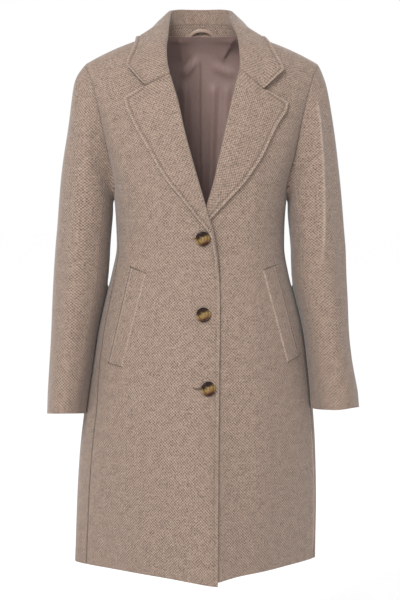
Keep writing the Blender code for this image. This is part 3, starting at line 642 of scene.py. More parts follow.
# Sizes of the yarn flecks, of paler and darker patches and of the lines' unevenness, and their shares
FLECK_SIZE = 0.010 / 3
PATCH_SIZE = 0.10 / 7
WOBBLE_SIZE = 0.10 / 23
WOBBLE = 0.003
RIB_SHARE = 0.17
FLOAT_SHARE = 0.12
FLECK_SHARE = 0.85
PATCH_SHARE = 0.35
RIB_HEIGHT = 0.5
FLOAT_HEIGHT = 0.35
WEAVE_DEEP = 0.0003

# Warp lines of the satin and twist of the threads, drawn coarse enough to show
WARP_SPACING = 0.01 / 9
WARP_LENGTH = 0.1 / 6
WARP_DEEP = 0.0002
TWIST_LENGTH = 0.01 / 9

# Horn: clouds in bands that lie across the button, from its lower to its upper edge
HORN_BANDS = (
    (0.0, "1c0b06"),
    (0.16, "38190d"),
    (0.34, "6b5230"),
    (0.52, "746038"),
    (0.70, "22130c"),
    (1.0, "0c0605"),
)
HORN_HALF = 0.0122
HORN_TILT = -0.35
HORN_CLOUD_SIZE = 0.025 / 3
HORN_CLOUD_SHIFT = 0.011
# Painted shade in a ring round the button's dished middle
GROOVE_SHADE_COLOUR = "2a170d"
GROOVE_WIDE = 0.0014
GROOVE_PAINTED_SHADE = 0.7

# Button threads and buttonholes
BUTTON_NAMES = ("top", "middle", "bottom")
BUTTON_SHARP = np.radians(35)
THREAD_SINK = 0.0002
THREAD_APART = 0.0003
BUTTON_THREAD_RADIUS = 0.00035
HOLE_THREAD = {
    "top": ("6e553c", "8a6c4e"),
    "middle": ("6e553c", "8a6c4e"),
    "bottom": ("4a382a", "665040"),
}
# Colours of the dark sheet in each buttonhole's slit: painted shadow of the cut
SLIT_SHADE_COLOURS = ("241a14", "33271f")
BUTTONHOLE_HALF = 0.0100
BUTTONHOLE_WIDE = 0.0013
BUTTONHOLE_SPREAD = 0.5
BUTTONHOLE_STEPS = 120
BUTTONHOLE_COLUMNS = 7
BUTTONHOLE_LIFT = 0.0003
BUTTONHOLE_RISE = 0.0005
BUTTONHOLE_SQUARE = 1.6
WHIPS = 40
WHIP_RISE = 0.25
SLIT_HALF = 0.0009
SLIT_LIFT = 0.00025
SLIT_STEPS = 25
SLIT_ROWS = 4

# Hanger loop's band
LOOP_STEPS = 61
LOOP_SIDES = 16
LOOP_SQUARE = 0.6

# Studio: floor, soft boxes (name, place, target, size, power) and camera
FLOOR_HEIGHT = -1.30
FLOOR_SIZE = 60
FLOOR_CLOUD_SIZE = 5 / 3
LIGHTS = (
    ("key_light", (-1.0, -2.8, 1.6), (0, 0, -0.4), 1.1, 130),
    ("fill_light", (2.6, -2.6, 0.6), (0, 0, -0.45), 2.2, 6),
)
WORLD_LIGHT = 1.0
CAMERA_TARGET = (-0.0028, 0.0, -0.46335)
CAMERA_DISTANCE = 3.0
CAMERA_ELEVATION = np.radians(4)
CAMERA_LENS = 102.86
CAMERA_SENSOR = 36

# Settings and sockets of shader nodes
ADD = {"operation": "ADD"}
SUBTRACT = {"operation": "SUBTRACT"}
MULTIPLY = {"operation": "MULTIPLY"}
MULTIPLY_ADD = {"operation": "MULTIPLY_ADD"}
MAXIMUM = {"operation": "MAXIMUM"}
ABSOLUTE = {"operation": "ABSOLUTE"}
SINE = {"operation": "SINE"}
LENGTH = {"operation": "LENGTH"}
COLOUR_MIX = {"data_type": "RGBA"}
MIX_FIRST = 6
MIX_SECOND = 7
MIX_RESULT = 2


def follow(places, values, at):
    """Smooth curve through the rows of a table that never runs past them: Hermite with limited slopes."""
    places = np.asarray(places, float)
    values = np.asarray(values, float)
    at = np.clip(np.asarray(at, float), places[0], places[-1])
    extra = (1,) * (values.ndim - 1)
    steps = np.diff(places).reshape((-1,) + extra)
    rises = np.diff(values, axis=0) / steps
    before = rises[:-1]
    after = rises[1:]
    same_way = before * after > 0
    total = np.where(same_way, before + after, 1.0)
    inner = np.where(same_way, 2 * before * after / total, 0.0)
    slopes = np.concatenate([rises[:1], inner, rises[-1:]])
    index = np.clip(np.searchsorted(places, at, side="right") - 1, 0, len(places) - 2)
    step = steps[index]
    share = ((at - places[index]).reshape(at.shape + extra)) / step
    rest = 1 - share
    return (
        values[index] * rest**2 * (1 + 2 * share)
        + values[index + 1] * share**2 * (1 + 2 * rest)
        + step * share * rest * (slopes[index] * rest - slopes[index + 1] * share)
    )


def ring(name, level):
    """One column of the ring table at the given levels."""
    return follow(BODY["level"], BODY[name], level)


def fade(value, start, end):
    """Smooth step from 0 at start to 1 at end."""
    share = np.clip((value - start) / (end - start), 0, 1)
    return share * share * (3 - 2 * share)


def lowness(level):
    """0 above the skirt's lower part, growing to 1 at the hem."""
    return np.clip((DIP_TOP - level) / (DIP_TOP - HEM), 0, 1) ** 2


def body(angle, level):
    """Outer face of the coat: an ellipse blended with a straight-sided bow in front, by angle and level.

    The angle runs from the centre front towards the wearer's left. Low down the bow's middle moves to the
    front edge and gets sharper, and the hem dips there.
    """
    angle, level = np.broadcast_arrays(np.asarray(angle, float), np.asarray(level, float))
    swing = np.sin(angle)
    across = ring("half_width", level) * swing
    facing = np.cos(angle)
    low = lowness(level)
    lean = np.where(facing > 0, KEEL_LEAN * low, 0)
    turn = np.abs(swing - lean) / np.where(swing > lean, 1 - lean, 1 + lean)
    rounding = np.where(facing > 0, KEEL_ROUND + (HEM_KEEL_ROUND - KEEL_ROUND) * low, KEEL_ROUND)
    keel = (np.hypot(turn, rounding) - rounding) / (np.hypot(1, rounding) - rounding)
    bow = ring("bow", level)
    forward = ring("front", level) * ((1 - bow) * facing + bow * (1 - keel))
    rearward = ring("back", level) * ((1 - BACK_BOW) * -facing + BACK_BOW * (1 - keel))
    depth = np.where(facing > 0, -forward, rearward)
    sharpness = np.where(swing > lean, LEFT_DIP_SHARP, RIGHT_DIP_SHARP)
    dip = np.where(facing > 0, HEM_DIP * low * (1 - keel) ** sharpness, 0)
    dip = dip - HEM_TILT * low * swing
    nape = NAPE_RISE * np.exp(-((across / NAPE_WIDTH) ** 2))
    nape = nape * fade(level, SHOULDER, NAPE_FULL) * fade(level, NAPE_LOW, NAPE_FULL)
    height = level - ring("crown", level) * across**2 - dip + np.where(facing > 0, 0, nape)
    return np.stack([across + ring("sway", level), depth, height], axis=-1)


def moved_out(angle, level, lift):
    """Point of the coat's outer face moved out along the face's normal."""
    angle, level, lift = np.broadcast_arrays(angle, level, np.asarray(lift, float))
    along = body(angle + TINY, level) - body(angle - TINY, level)
    upward = body(angle, level + TINY) - body(angle, level - TINY)
    normal = np.cross(along, upward)
    normal /= np.linalg.norm(normal, axis=-1, keepdims=True)
    return body(angle, level) + lift[..., None] * normal


def level_at(across, height):
    """Level of the ring that passes a front point given by its place across and its height."""
    level = height + 0 * across
    for _ in range(LEVEL_ROUNDS):
        level = height + ring("crown", level) * across**2
    return np.minimum(level, SHOULDER_SEAM)


def under_overlap(across, level):
    """How far the left front lies below the right one."""
    deep = OVERLAP_DEPTH + ROLL_ROOM * fade(level, ROLL_ROOM_LOW, ROLL_ROOM_FULL)
    return deep * fade(across, OVERLAP_OUTER, OVERLAP_INNER) * fade(level, OVERLAP_TOP, OVERLAP_FULL)


def on_front(across, height, lift, left=False):
    """Point on a front, given by its place across and its height, moved out by the lift."""
    across, height, lift = np.broadcast_arrays(
        np.asarray(across, float), np.asarray(height, float), np.asarray(lift, float)
    )
    level = level_at(across, height)
    angle = np.arcsin(np.clip((across - ring("sway", level)) / ring("half_width", level), -1, 1))
    down = under_overlap(across, level) if left else 0.0
    return moved_out(angle, level, lift - down)


def edge_angle(level, edge, side):
    """Ring angle of a front's edge at each level, set back where the lapel rolls round it."""
    height = np.array(level)
    for _ in range(EDGE_ROUNDS):
        across = follow(edge["height"], edge["across"], height)
        across = across + side * ROLL_SETBACK * fade(height, SETBACK_LOW, SETBACK_FULL)
        height = level - ring("crown", level) * across**2
    return np.arcsin((across - ring("sway", level)) / ring("half_width", level))


def armhole_angle(level, face):
    """Ring angle of the armhole at a level above the underarm, from the centre front or the centre back."""
    return np.radians(follow(ARMHOLE["level"][::-1], ARMHOLE[face][::-1], level))


def seam_angle(level, side_name):
    """Ring angle of a side seam, and of the front of the armhole above the underarm."""
    seam = np.radians(follow(SIDE_SEAM["level"], SIDE_SEAM[side_name], level))
    return np.where(level > UNDERARM, armhole_angle(level, "front"), seam)


def back_start(level, side_name):
    """Ring angle where the back begins: the side seam, and the back of the armhole above the underarm."""
    seam = seam_angle(level, side_name)
    return np.where(level > UNDERARM, np.pi - armhole_angle(level, "rear"), seam)


def neck_level(angle):
    """Top level of the back at a ring angle: the shoulder seam, scooped out for the neck."""
    from_middle = np.minimum(np.abs(np.pi - angle) / NECK_ANGLE, 1)
    return NECK_BACK + (SHOULDER_SEAM - NECK_BACK) * from_middle**NECK_CURVE


def lengths(points, axis):
    """Distance along the rows or columns of a grid of points, from the first one."""
    steps = np.linalg.norm(np.diff(points, axis=axis), axis=-1)
    total = np.cumsum(steps, axis=axis)
    start = np.zeros_like(np.take(total, [0], axis=axis))
    return np.concatenate([start, total], axis=axis)


def sampled(at, run, points):
    """Points of a line at distances along it."""
    return np.stack([np.interp(at, run, points[:, axis]) for axis in range(3)], axis=-1)


def placed(total, near_start, near_end, count):
    """Distances along rows of the given lengths: fine steps at both ends and even ones between."""
    total = np.atleast_1d(total)[:, None]
    first = near_start + 0 * total
    last = total - near_end[::-1]
    share = np.linspace(0, 1, count + 2)[1:-1]
    middle = first[:, -1:] + (last[:, :1] - first[:, -1:]) * share
    return np.hstack([first, middle, last])


def spaced(start, end, levels, surface, near_start, near_end, count):
    """Ring angles of a panel's columns, and their distances from its first edge."""
    dense = start[:, None] + (end - start)[:, None] * np.linspace(0, 1, DENSE + 1)
    run = lengths(surface(dense, levels[:, None]), 1)
    wanted = placed(run[:, -1], near_start, near_end, count)
    angles = [np.interp(row, along, angle) for row, along, angle in zip(wanted, run, dense)]
    return np.array(angles), wanted


def panel_levels(angle, bottom, top, count, near_bottom):
    """Levels of a panel's rows, evenly spaced along the cloth at the given ring angle, finer at the hem."""
    dense = np.linspace(bottom, top, LEVEL_STEPS)
    run = lengths(body(angle, dense), 0)
    return np.interp(placed(run[-1], near_bottom, NEAR_SEAM, count)[0], run, dense)


def normals(points):
    """Unit normals of a grid: its direction along the columns crossed with that along the rows."""
    across = np.gradient(points, axis=1)
    upward = np.gradient(points, axis=0)
    normal = np.cross(across, upward)
    return normal / np.maximum(np.linalg.norm(normal, axis=-1, keepdims=True), SMALLEST)


def beside_line(across, height, start, end):
    """Distances of points along a line and aside of it, and its length."""
    way = np.subtract(end, start)
    length = np.hypot(*way)
    along = ((across - start[0]) * way[0] + (height - start[1]) * way[1]) / length
    aside = ((across - start[0]) * way[1] - (height - start[1]) * way[0]) / length
    return along, aside, length


def folds(across, height, table):
    """Sum of soft ridges and troughs: a bell across each line, faded out at both of its ends."""
    relief = np.zeros(np.broadcast(across, height).shape)
    for *line, width, rise in zip(*table.values()):
        along, aside, length = beside_line(across, height, line[:2], line[2:])
        ends = fade(along, -width, width * 2) * fade(along, length + width, length - width * 2)
        relief += rise * bell(aside, 0, width) * ends
    return relief


def tucks(across, height, table):
    """Sum of stepped folds: highest on one side of each line, dying away from it, nothing on the other."""
    relief = np.zeros(np.broadcast(across, height).shape)
    for *line, width, rise, side in zip(*table.values()):
        along, aside, length = beside_line(across, height, line[:2], line[2:])
        aside = side * aside
        ends = fade(along, 0, width / 2) * fade(along, length, length - width)
        relief += np.where(aside > 0, rise * np.exp(-aside / width), 0) * ends
    return relief


def bell(distance, place, width):
    """Bell curve of height 1 about a place."""
    return np.exp(-(((distance - place) / width) ** 2))


def folded_edge(distance, thickness):
    """Drop of a folded edge by the distance from it: a quarter of a round of half the thickness."""
    radius = thickness / 2
    inside = np.clip(1 - distance / radius, 0, 1)
    return FOLDED_SHARE * radius * (1 - np.sqrt(1 - inside**2))


def stitched_edge(distance):
    """Relief beside a topstitched edge: puffed up to the stitch line, which is pulled in."""
    puff = EDGE_PUFF * fade(distance, STITCH_PLACE, STITCH_PLACE / 2)
    puff = puff + RIM_RISE * bell(distance, RIM_PLACE, RIM_WIDE)
    return puff - STITCH_DEEP * bell(distance, STITCH_PLACE, STITCH_WIDE)


def stitched_tone(distance):
    """Tone beside a topstitched edge: painted shade in the stitch line's groove, a painted highlight along
    the rim.
    """
    stitches = STITCH_PAINTED_SHADE * bell(distance, STITCH_PLACE, STITCH_TONE_WIDE)
    return stitches - RIM_PAINTED_HIGHLIGHT * bell(distance, RIM_PLACE, RIM_WIDE)


def front_panel(side_name, lift=0.0):
    """Grid of a front, with its ring angles, levels and distances from its front edge and its seam."""
    left = side_name == "left"
    side = 1 if left else -1
    levels = panel_levels(side * FRONT_GRAIN, HEM, SHOULDER_SEAM, FRONT_ROWS, NEAR_HEM)
    edge = edge_angle(levels, EDGE_LEFT if left else EDGE_RIGHT, side)
    seam = side * seam_angle(levels, side_name)
    if left:
        angles, run = spaced(edge, seam, levels, body, NEAR_EDGE, NEAR_SEAM, FRONT_COLUMNS)
        from_edge = run
        from_seam = run[:, -1:] - run
    else:
        angles, run = spaced(seam, edge, levels, body, NEAR_SEAM, NEAR_EDGE, FRONT_COLUMNS)
        from_edge = run[:, -1:] - run
        from_seam = run
    rows = np.broadcast_to(levels[:, None], angles.shape)
    across = body(angles, rows)[..., 0]
    down = under_overlap(across, rows) if left else 0.0
    points = moved_out(angles, rows, lift - down)
    if left:
        points[..., 2] += LEFT_HEM_RISE * lowness(rows) * fade(across, LEFT_RISE_START, LEFT_RISE_FULL)
    return points, angles, rows, from_edge, from_seam, run


def stretched(angle, level):
    """Level of the back's rows, drawn in above the underarm so that the last one follows the neck."""
    rise = level - UNDERARM
    stretch = (neck_level(angle) - UNDERARM) / (SHOULDER_SEAM - UNDERARM)
    return UNDERARM + np.where(rise > 0, rise * stretch, rise)


def back_panel(lift=0.0, bottom=HEM):
    """Grid of the back from the left side seam round to the right one, with distances from both."""
    levels = panel_levels(BACK_GRAIN, bottom, SHOULDER_SEAM, BACK_ROWS, NEAR_HEM)
    start = back_start(levels, "left")
    end = 2 * np.pi - back_start(levels, "right")

    def surface(angle, level):
        return body(angle, stretched(angle, level))

    angles, run = spaced(start, end, levels, surface, NEAR_SEAM, NEAR_SEAM, BACK_COLUMNS)
    rows = stretched(angles, levels[:, None])
    from_seam = np.minimum(run, run[:, -1:] - run)
    return moved_out(angles, rows, lift), angles, rows, from_seam, run


def grain(points, angles, run, middle):
    """Cloth coordinates of a panel: distance round from the grain line and height up along it."""
    at_line = np.array([np.interp(middle, angle, along) for angle, along in zip(angles, run)])
    line = np.array([sampled(middle, angle, row) for angle, row in zip(angles, points)])
    up = lengths(line, 0)
    return np.stack([run - at_line[:, None], np.broadcast_to(up[:, None], run.shape)], axis=-1)


def armhole(around):
    """Ring angle and level of the armhole by the angle round the sleeve: 0 at the shoulder."""
    around = np.angle(np.exp(1j * around))
    level = follow(ARMHOLE["share"], ARMHOLE["level"], np.abs(around) / np.pi)
    front = armhole_angle(level, "front")
    rear = np.pi - armhole_angle(level, "rear")
    return np.where(around >= 0, front, rear), level


def body_side(depth, level, side):
    """Half-width of the coat at a depth: the ring angle that has this depth is found by halving."""
    near = np.zeros_like(depth)
    far = np.full_like(depth, np.pi)
    for _ in range(HALVINGS):
        middle = (near + far) / 2
        before = body(middle, level)[..., 1] < depth
        near = np.where(before, middle, near)
        far = np.where(before, far, middle)
    return body(near, level)[..., 0] + (side - 1) * ring("sway", level)


def sleeve(around, along, side):
    """Sleeve of one side: the armhole lofted through the ring table, by angle round and ring number.

    Rings run from the outer to the inner point; both lean towards the wearer's right with the body.
    """
    angle, level = armhole(around)
    edge = body(angle, level)
    edge[..., 0] += (side - 1) * ring("sway", level)
    rings = [edge]
    for row in zip(*SLEEVE.values()):
        outer_x, outer_z, inner_x, inner_z, middle_y, half_depth, pitch, lean = row
        outer_x = outer_x - side * lean
        inner_x = inner_x + side * ring("sway", inner_z)
        rise = LEFT_CUFF_RISE * fade(inner_z, RISE_TOP, CUFF) if side > 0 else 0.0
        swing = np.cos(around)
        deep = -half_depth * np.sin(around)
        across = (outer_x + inner_x) / 2 + (outer_x - inner_x) / 2 * swing
        height = (outer_z + inner_z) / 2 + (outer_z - inner_z) / 2 * swing - pitch * deep + rise
        rings.append(np.stack([across, middle_y + deep, height], axis=-1))
    points = follow(np.arange(len(rings)), np.array(rings), np.asarray(along, float))
    points[..., 0] *= side
    return points


def sleeve_columns(first, last, count):
    """Angles round a sleeve piece between two seams, given in half turns, finer at seams and crease."""
    crease = (CREASE_COLUMNS / 180 - first) / (last - first)
    crease = crease[(crease > CREASE_CLEAR) & (crease < 1 - CREASE_CLEAR)]
    even = np.linspace(0, 1, count + 1)
    share = np.unique(np.concatenate([even, SLEEVE_SEAM_COLUMNS, 1 - SLEEVE_SEAM_COLUMNS, crease]))
    return np.pi * (first + (last - first) * share)


def sleeve_relief(around, along, side):
    """Relief and painted highlight of a sleeve: long folds, the left one's pressed crease, and elbow folds.
    """
    degrees = np.degrees(np.angle(np.exp(1j * around)))[None, :]
    rings = along[:, None]
    relief = np.zeros((len(along), len(around)))
    crease_highlight = np.zeros_like(relief)
    table = SLEEVE_FOLDS_LEFT if side > 0 else SLEEVE_FOLDS_RIGHT
    for place, start, end, width, rise in zip(*table.values()):
        window = fade(rings, start - SLEEVE_FOLD_START, start + SLEEVE_FOLD_START)
        window = window * fade(rings, end + SLEEVE_FOLD_END, end - SLEEVE_FOLD_END)
        relief += rise * bell(degrees, place, width) * window
    if side > 0:
        aside = np.abs(degrees - follow(CREASE["ring"], CREASE["around"], rings))
        window = fade(rings, CREASE_START, CREASE_FULL) * fade(rings, CREASE_END, CREASE_FADE)
        relief += CREASE_RISE * np.exp(-((aside / CREASE_WIDE) ** CREASE_SHARP)) * window
        crease_highlight += CREASE_PAINTED_HIGHLIGHT * bell(aside, 0, CREASE_HIGHLIGHT_WIDE) * window
    for place, at, width, rise, slope in zip(*ELBOW_FOLDS.values()):
        aside = (degrees - place + 180) % 360 - 180
        relief += rise * bell(rings, at + slope * aside, width) * bell(aside, 0, ELBOW_SPREAD)
    return relief, crease_highlight


def laid_on_body(points, around, side):
    """Sleeve points, moved to just off the coat's side where the sleeve's inner back face meets it."""
    inner = np.clip(-np.cos(around), 0, 1)
    touch = fade(points[..., 2], CONTACT_TOP, CONTACT_FULL) * fade(inner, CONTACT_INNER, CONTACT_INNER_FULL)
    touch = touch * fade(np.sin(around), CONTACT_FRONT, CONTACT_FRONT_FULL)
    reach = body_side(points[..., 1], points[..., 2], side) + CONTACT_GAP
    points[..., 0] += touch * (side * reach - points[..., 0])
    return points


def sleeve_grid(first, last, count, side):
    """Sleeve piece between two seams: its grid, relief and painted highlight, and the coat's normal at the
    armhole.

    The left cuff bows up at its outer and inner sides.
    """
    middle = np.pi * (first + last) / 2
    dense = np.linspace(0, len(SLEEVE["outer_x"]), RING_STEPS)
    run = lengths(sleeve(np.array([middle]), dense, side)[:, 0], 0)
    along = np.interp(placed(run[-1], NEAR_SEAM, NEAR_HEM, SLEEVE_ROWS)[0], run, dense)
    around = sleeve_columns(first, last, count)
    points = sleeve(around, along, side)
    if side > 0:
        outward = (1 + np.cos(around)) / 2
        bow = CUFF_BOW_OUTER * fade(outward, CUFF_BOW_OUTER_START, 1.0)
        bow = bow + CUFF_BOW_INNER * fade(outward, CUFF_BOW_INNER_START, 0.0)
        points[..., 2] += bow * fade(points[..., 2], CUFF_BOW_TOP, CUFF)
    points = laid_on_body(points, around, side)
    angle, level = armhole(around)
    edge_normal = (moved_out(angle, level, 1.0) - body(angle, level)) * (side, 1, 1)
    relief, crease_highlight = sleeve_relief(around, along, side)
    order = slice(None) if side > 0 else slice(None, None, -1)
    return points[:, order], relief[:, order], crease_highlight[:, order], edge_normal[order]


def turned(roll, bend, edge, inside, numbers, left, loft, full):
    """Rows of a turned edge by column number: along the inside, round the roll and out over the front.

    Roll, bend and edge are places (across, height) of one row each. The loft lifts the cloth off the
    front beside the roll. Full is 1 where the roll is round and 0 where it lies flush in the front.
    """
    start = bend - roll
    start /= np.linalg.norm(start, axis=1, keepdims=True)
    turn = np.radians(ROLL_STEP * (np.clip(numbers, ROLL_START, ROLL_END) - ROLL_START) + ROLL_FIRST)
    radius = (FLUSH_RADIUS + (ROLL_RADIUS - FLUSH_RADIUS) * full)[:, None]
    centre = (FLUSH_CENTRE + (ROLL_CENTRE - FLUSH_CENTRE) * full)[:, None]
    round_roll = radius * (1 - np.cos(turn))
    far_in = np.clip(ROLL_START - numbers, 0, 1)
    along = round_roll + far_in * (inside[:, None] - radius)
    first = roll[:, None] + along[..., None] * start[:, None]
    places = np.arange(ROLL_END, LAST_COLUMN + 1)
    share = np.interp(numbers, places, [0, *FALL["share"]])[None, :, None]
    begin = (roll + radius * start)[:, None]
    near = (bend[:, None] - begin) * np.minimum(share / BEND_SHARE, 1)
    far = (edge - bend)[:, None] * np.maximum(share - BEND_SHARE, 0) / (1 - BEND_SHARE)
    outer = begin + near + far
    grid = np.where((numbers <= ROLL_END)[None, :, None], first, outer)
    raised = loft * np.sin(np.pi * np.clip(share[..., 0] / LOFT_REACH, 0, 1)) ** 2
    lift = centre + radius * np.sin(turn) + raised * full[:, None]
    return on_front(grid[..., 0], grid[..., 1], lift, left)


def lapel(table, edge, notch, left):
    """Grid of a lapel: the front's facing turned out along the roll line, cut off below the gorge seam."""
    last = len(table["roll_height"]) - 1
    coarse_height = table["roll_height"].copy()
    coarse_roll = np.stack([follow(edge["height"], edge["across"], coarse_height), coarse_height], axis=1)
    coarse_rim = np.stack([table["edge_across"], table["edge_height"]], axis=1)
    coarse_bend = coarse_roll + (coarse_rim - coarse_roll) * BEND_SHARE
    coarse_bend[-1] = notch
    coarse_roll[-1, 1] -= GORGE_GAP
    coarse_bend[-1, 1] -= GORGE_GAP
    at = np.concatenate([np.linspace(0, last - 1, LAPEL_ROWS), last - 1 + END_ROWS])
    numbers = np.arange(last + 1)
    roll = follow(numbers, coarse_roll, at)
    bend = follow(numbers, coarse_bend, at)
    rim = follow(numbers, coarse_rim, at)
    width = np.linalg.norm(rim - roll, axis=1)
    inside = np.minimum(FACING_WIDTH, TURNED_INSIDE + width)
    full = np.ones(len(roll)) if left else fade(roll[:, 1], LAPEL_END, LAPEL_FULL)
    return turned(roll, bend, rim, inside, LAPEL_NUMBERS, left, LAPEL_LOFT, full)


def collar_front(table, left):
    """Rows of a collar end on the front, from the shoulder to the gorge seam."""
    last = len(table["roll_across"]) - 1
    at = np.concatenate([np.linspace(0, last - 1, COLLAR_FRONT_ROWS), last - 1 + END_ROWS])
    rows = follow(np.arange(last + 1), np.stack(list(table.values()), axis=1), at)
    inside = np.full(len(rows), TURNED_INSIDE)
    full = np.ones(len(rows))
    places = (rows[:, 0:2], rows[:, 2:4], rows[:, 4:6])
    points = turned(*places, inside, COLLAR_NUMBERS, left, COLLAR_LOFT, full)
    return points, at


def collar_back(side):
    """Rows of the collar from the shoulder to the centre back: up the stand, over the fold, down the fall."""
    rows = []
    for row in zip(*COLLAR_BACK.values()):
        neck, roll, edge = np.array(row).reshape(3, 3)
        roll[0] += side * COLLAR_SHIFT
        edge[0] += side * COLLAR_SHIFT
        outward = (edge - neck) * (1, 1, 0)
        outward /= np.linalg.norm(outward)
        fold = roll + outward * COLLAR_FOLD_OUT - np.array((0, 0, COLLAR_FOLD_DROP))
        crest = (roll + fold) / 2 + np.array((0, 0, COLLAR_FOLD_DROP * COLLAR_CREST))
        seam = neck + (roll - neck) * COLLAR_SEAM_SHARE
        near_fold = neck + (roll - neck) * COLLAR_FOLD_SHARE
        bulge = (outward + np.array((0, 0, 1))) * COLLAR_BULGE / np.sqrt(2)
        fall = [fold + (edge - fold) * share + bulge * part for share, part in zip(*FALL.values())]
        rows.append([neck, seam, near_fold, roll, crest, fold, *fall])
    return np.array(rows) * (side, 1, 1)


def collar_grid():
    """Whole collar from the left gorge seam round the back of the neck to the right one."""
    left, left_at = collar_front(COLLAR_LEFT, True)
    right, right_at = collar_front(COLLAR_RIGHT, False)
    stations = np.concatenate([collar_back(1), collar_back(-1)[-2::-1]])
    coarse = np.swapaxes(stations, 0, 1)
    back = np.swapaxes(follow(np.arange(len(coarse)), coarse, COLLAR_NUMBERS), 0, 1)
    rows = np.concatenate([left[::-1], back, right])
    first = left_at[-1] - left_at[::-1]
    middle = left_at[-1] + 1 + np.arange(len(back))
    places = np.concatenate([first, middle, middle[-1] + 1 + right_at])
    between = np.linspace(left_at[-1], middle[-1] + 1, COLLAR_BACK_ROWS * (len(back) + 1) + 1)
    wanted = np.concatenate([first[:-1], between, middle[-1] + 1 + right_at[1:]])
    return follow(places, rows, wanted)


def stand_grid():
    """Collar stand: the band from the neck seam up to the collar's inner seam, round the back."""
    stations = np.concatenate([collar_back(1), collar_back(-1)[-2::-1]])
    places = np.arange(len(stations))
    fine = follow(places, stations[:, :2], np.linspace(0, len(stations) - 1, STAND_ROWS))
    share = np.linspace(0, 1, STAND_COLUMNS)[None, :, None]
    return fine[:, :1] + (fine[:, 1:] - fine[:, :1]) * share


def neck_seam(across):
    """Depth and height of the neck seam at places across the back of the neck."""
    places = COLLAR_BACK["neck_x"][::-1]
    return [np.interp(np.abs(across), places, COLLAR_BACK[name][::-1]) for name in ("neck_y", "neck_z")]


def welt_grid(corners, left):
    """Grid of a pocket welt on a front between its four corners, finer along its sides."""
    places = np.stack([corners["across"], corners["height"]], axis=1)
    wide = np.linalg.norm(places[1] - places[0])
    tall = np.linalg.norm(places[3] - places[0])
    side_share = (placed(wide, NEAR_EDGE[:-1], NEAR_EDGE[:-1], WELT_COLUMNS)[0] / wide)[None, :, None]
    up_share = (placed(tall, NEAR_EDGE, NEAR_EDGE, WELT_ROWS)[0] / tall)[:, None, None]
    lower = places[0] + (places[1] - places[0]) * side_share
    upper = places[3] + (places[2] - places[3]) * side_share
    grid = lower + (upper - lower) * up_share
    return on_front(grid[..., 0], grid[..., 1], WELT_LIFT, left)


def linear(colour):
    """sRGB hex colour as linear red, green, blue and full alpha."""
    parts = [int(colour[i : i + 2], 16) / 255 for i in (0, 2, 4)]
    return (*[p / 12.92 if p < 0.04045 else ((p + 0.055) / 1.055) ** 2.4 for p in parts], 1)


def new_material(name):
    """New node material and its tree."""
    material = bpy.data.materials.new(name)
    material.use_nodes = True
    return material, material.node_tree


def feed(tree, node, inputs):
    """Give a node its inputs, by name or number: a socket is linked and a plain value is set."""
    for place, value in inputs.items():
        if isinstance(value, bpy.types.NodeSocket):
            tree.links.new(value, node.inputs[place])
        else:
            node.inputs[place].default_value = value


def add_node(tree, kind, settings, inputs, out=0):
    """New node with its settings and inputs; returns one of its outputs."""
    node = tree.nodes.new("ShaderNode" + kind)
    for name, value in settings.items():
        setattr(node, name, value)
    feed(tree, node, inputs)
    return node.outputs[out]


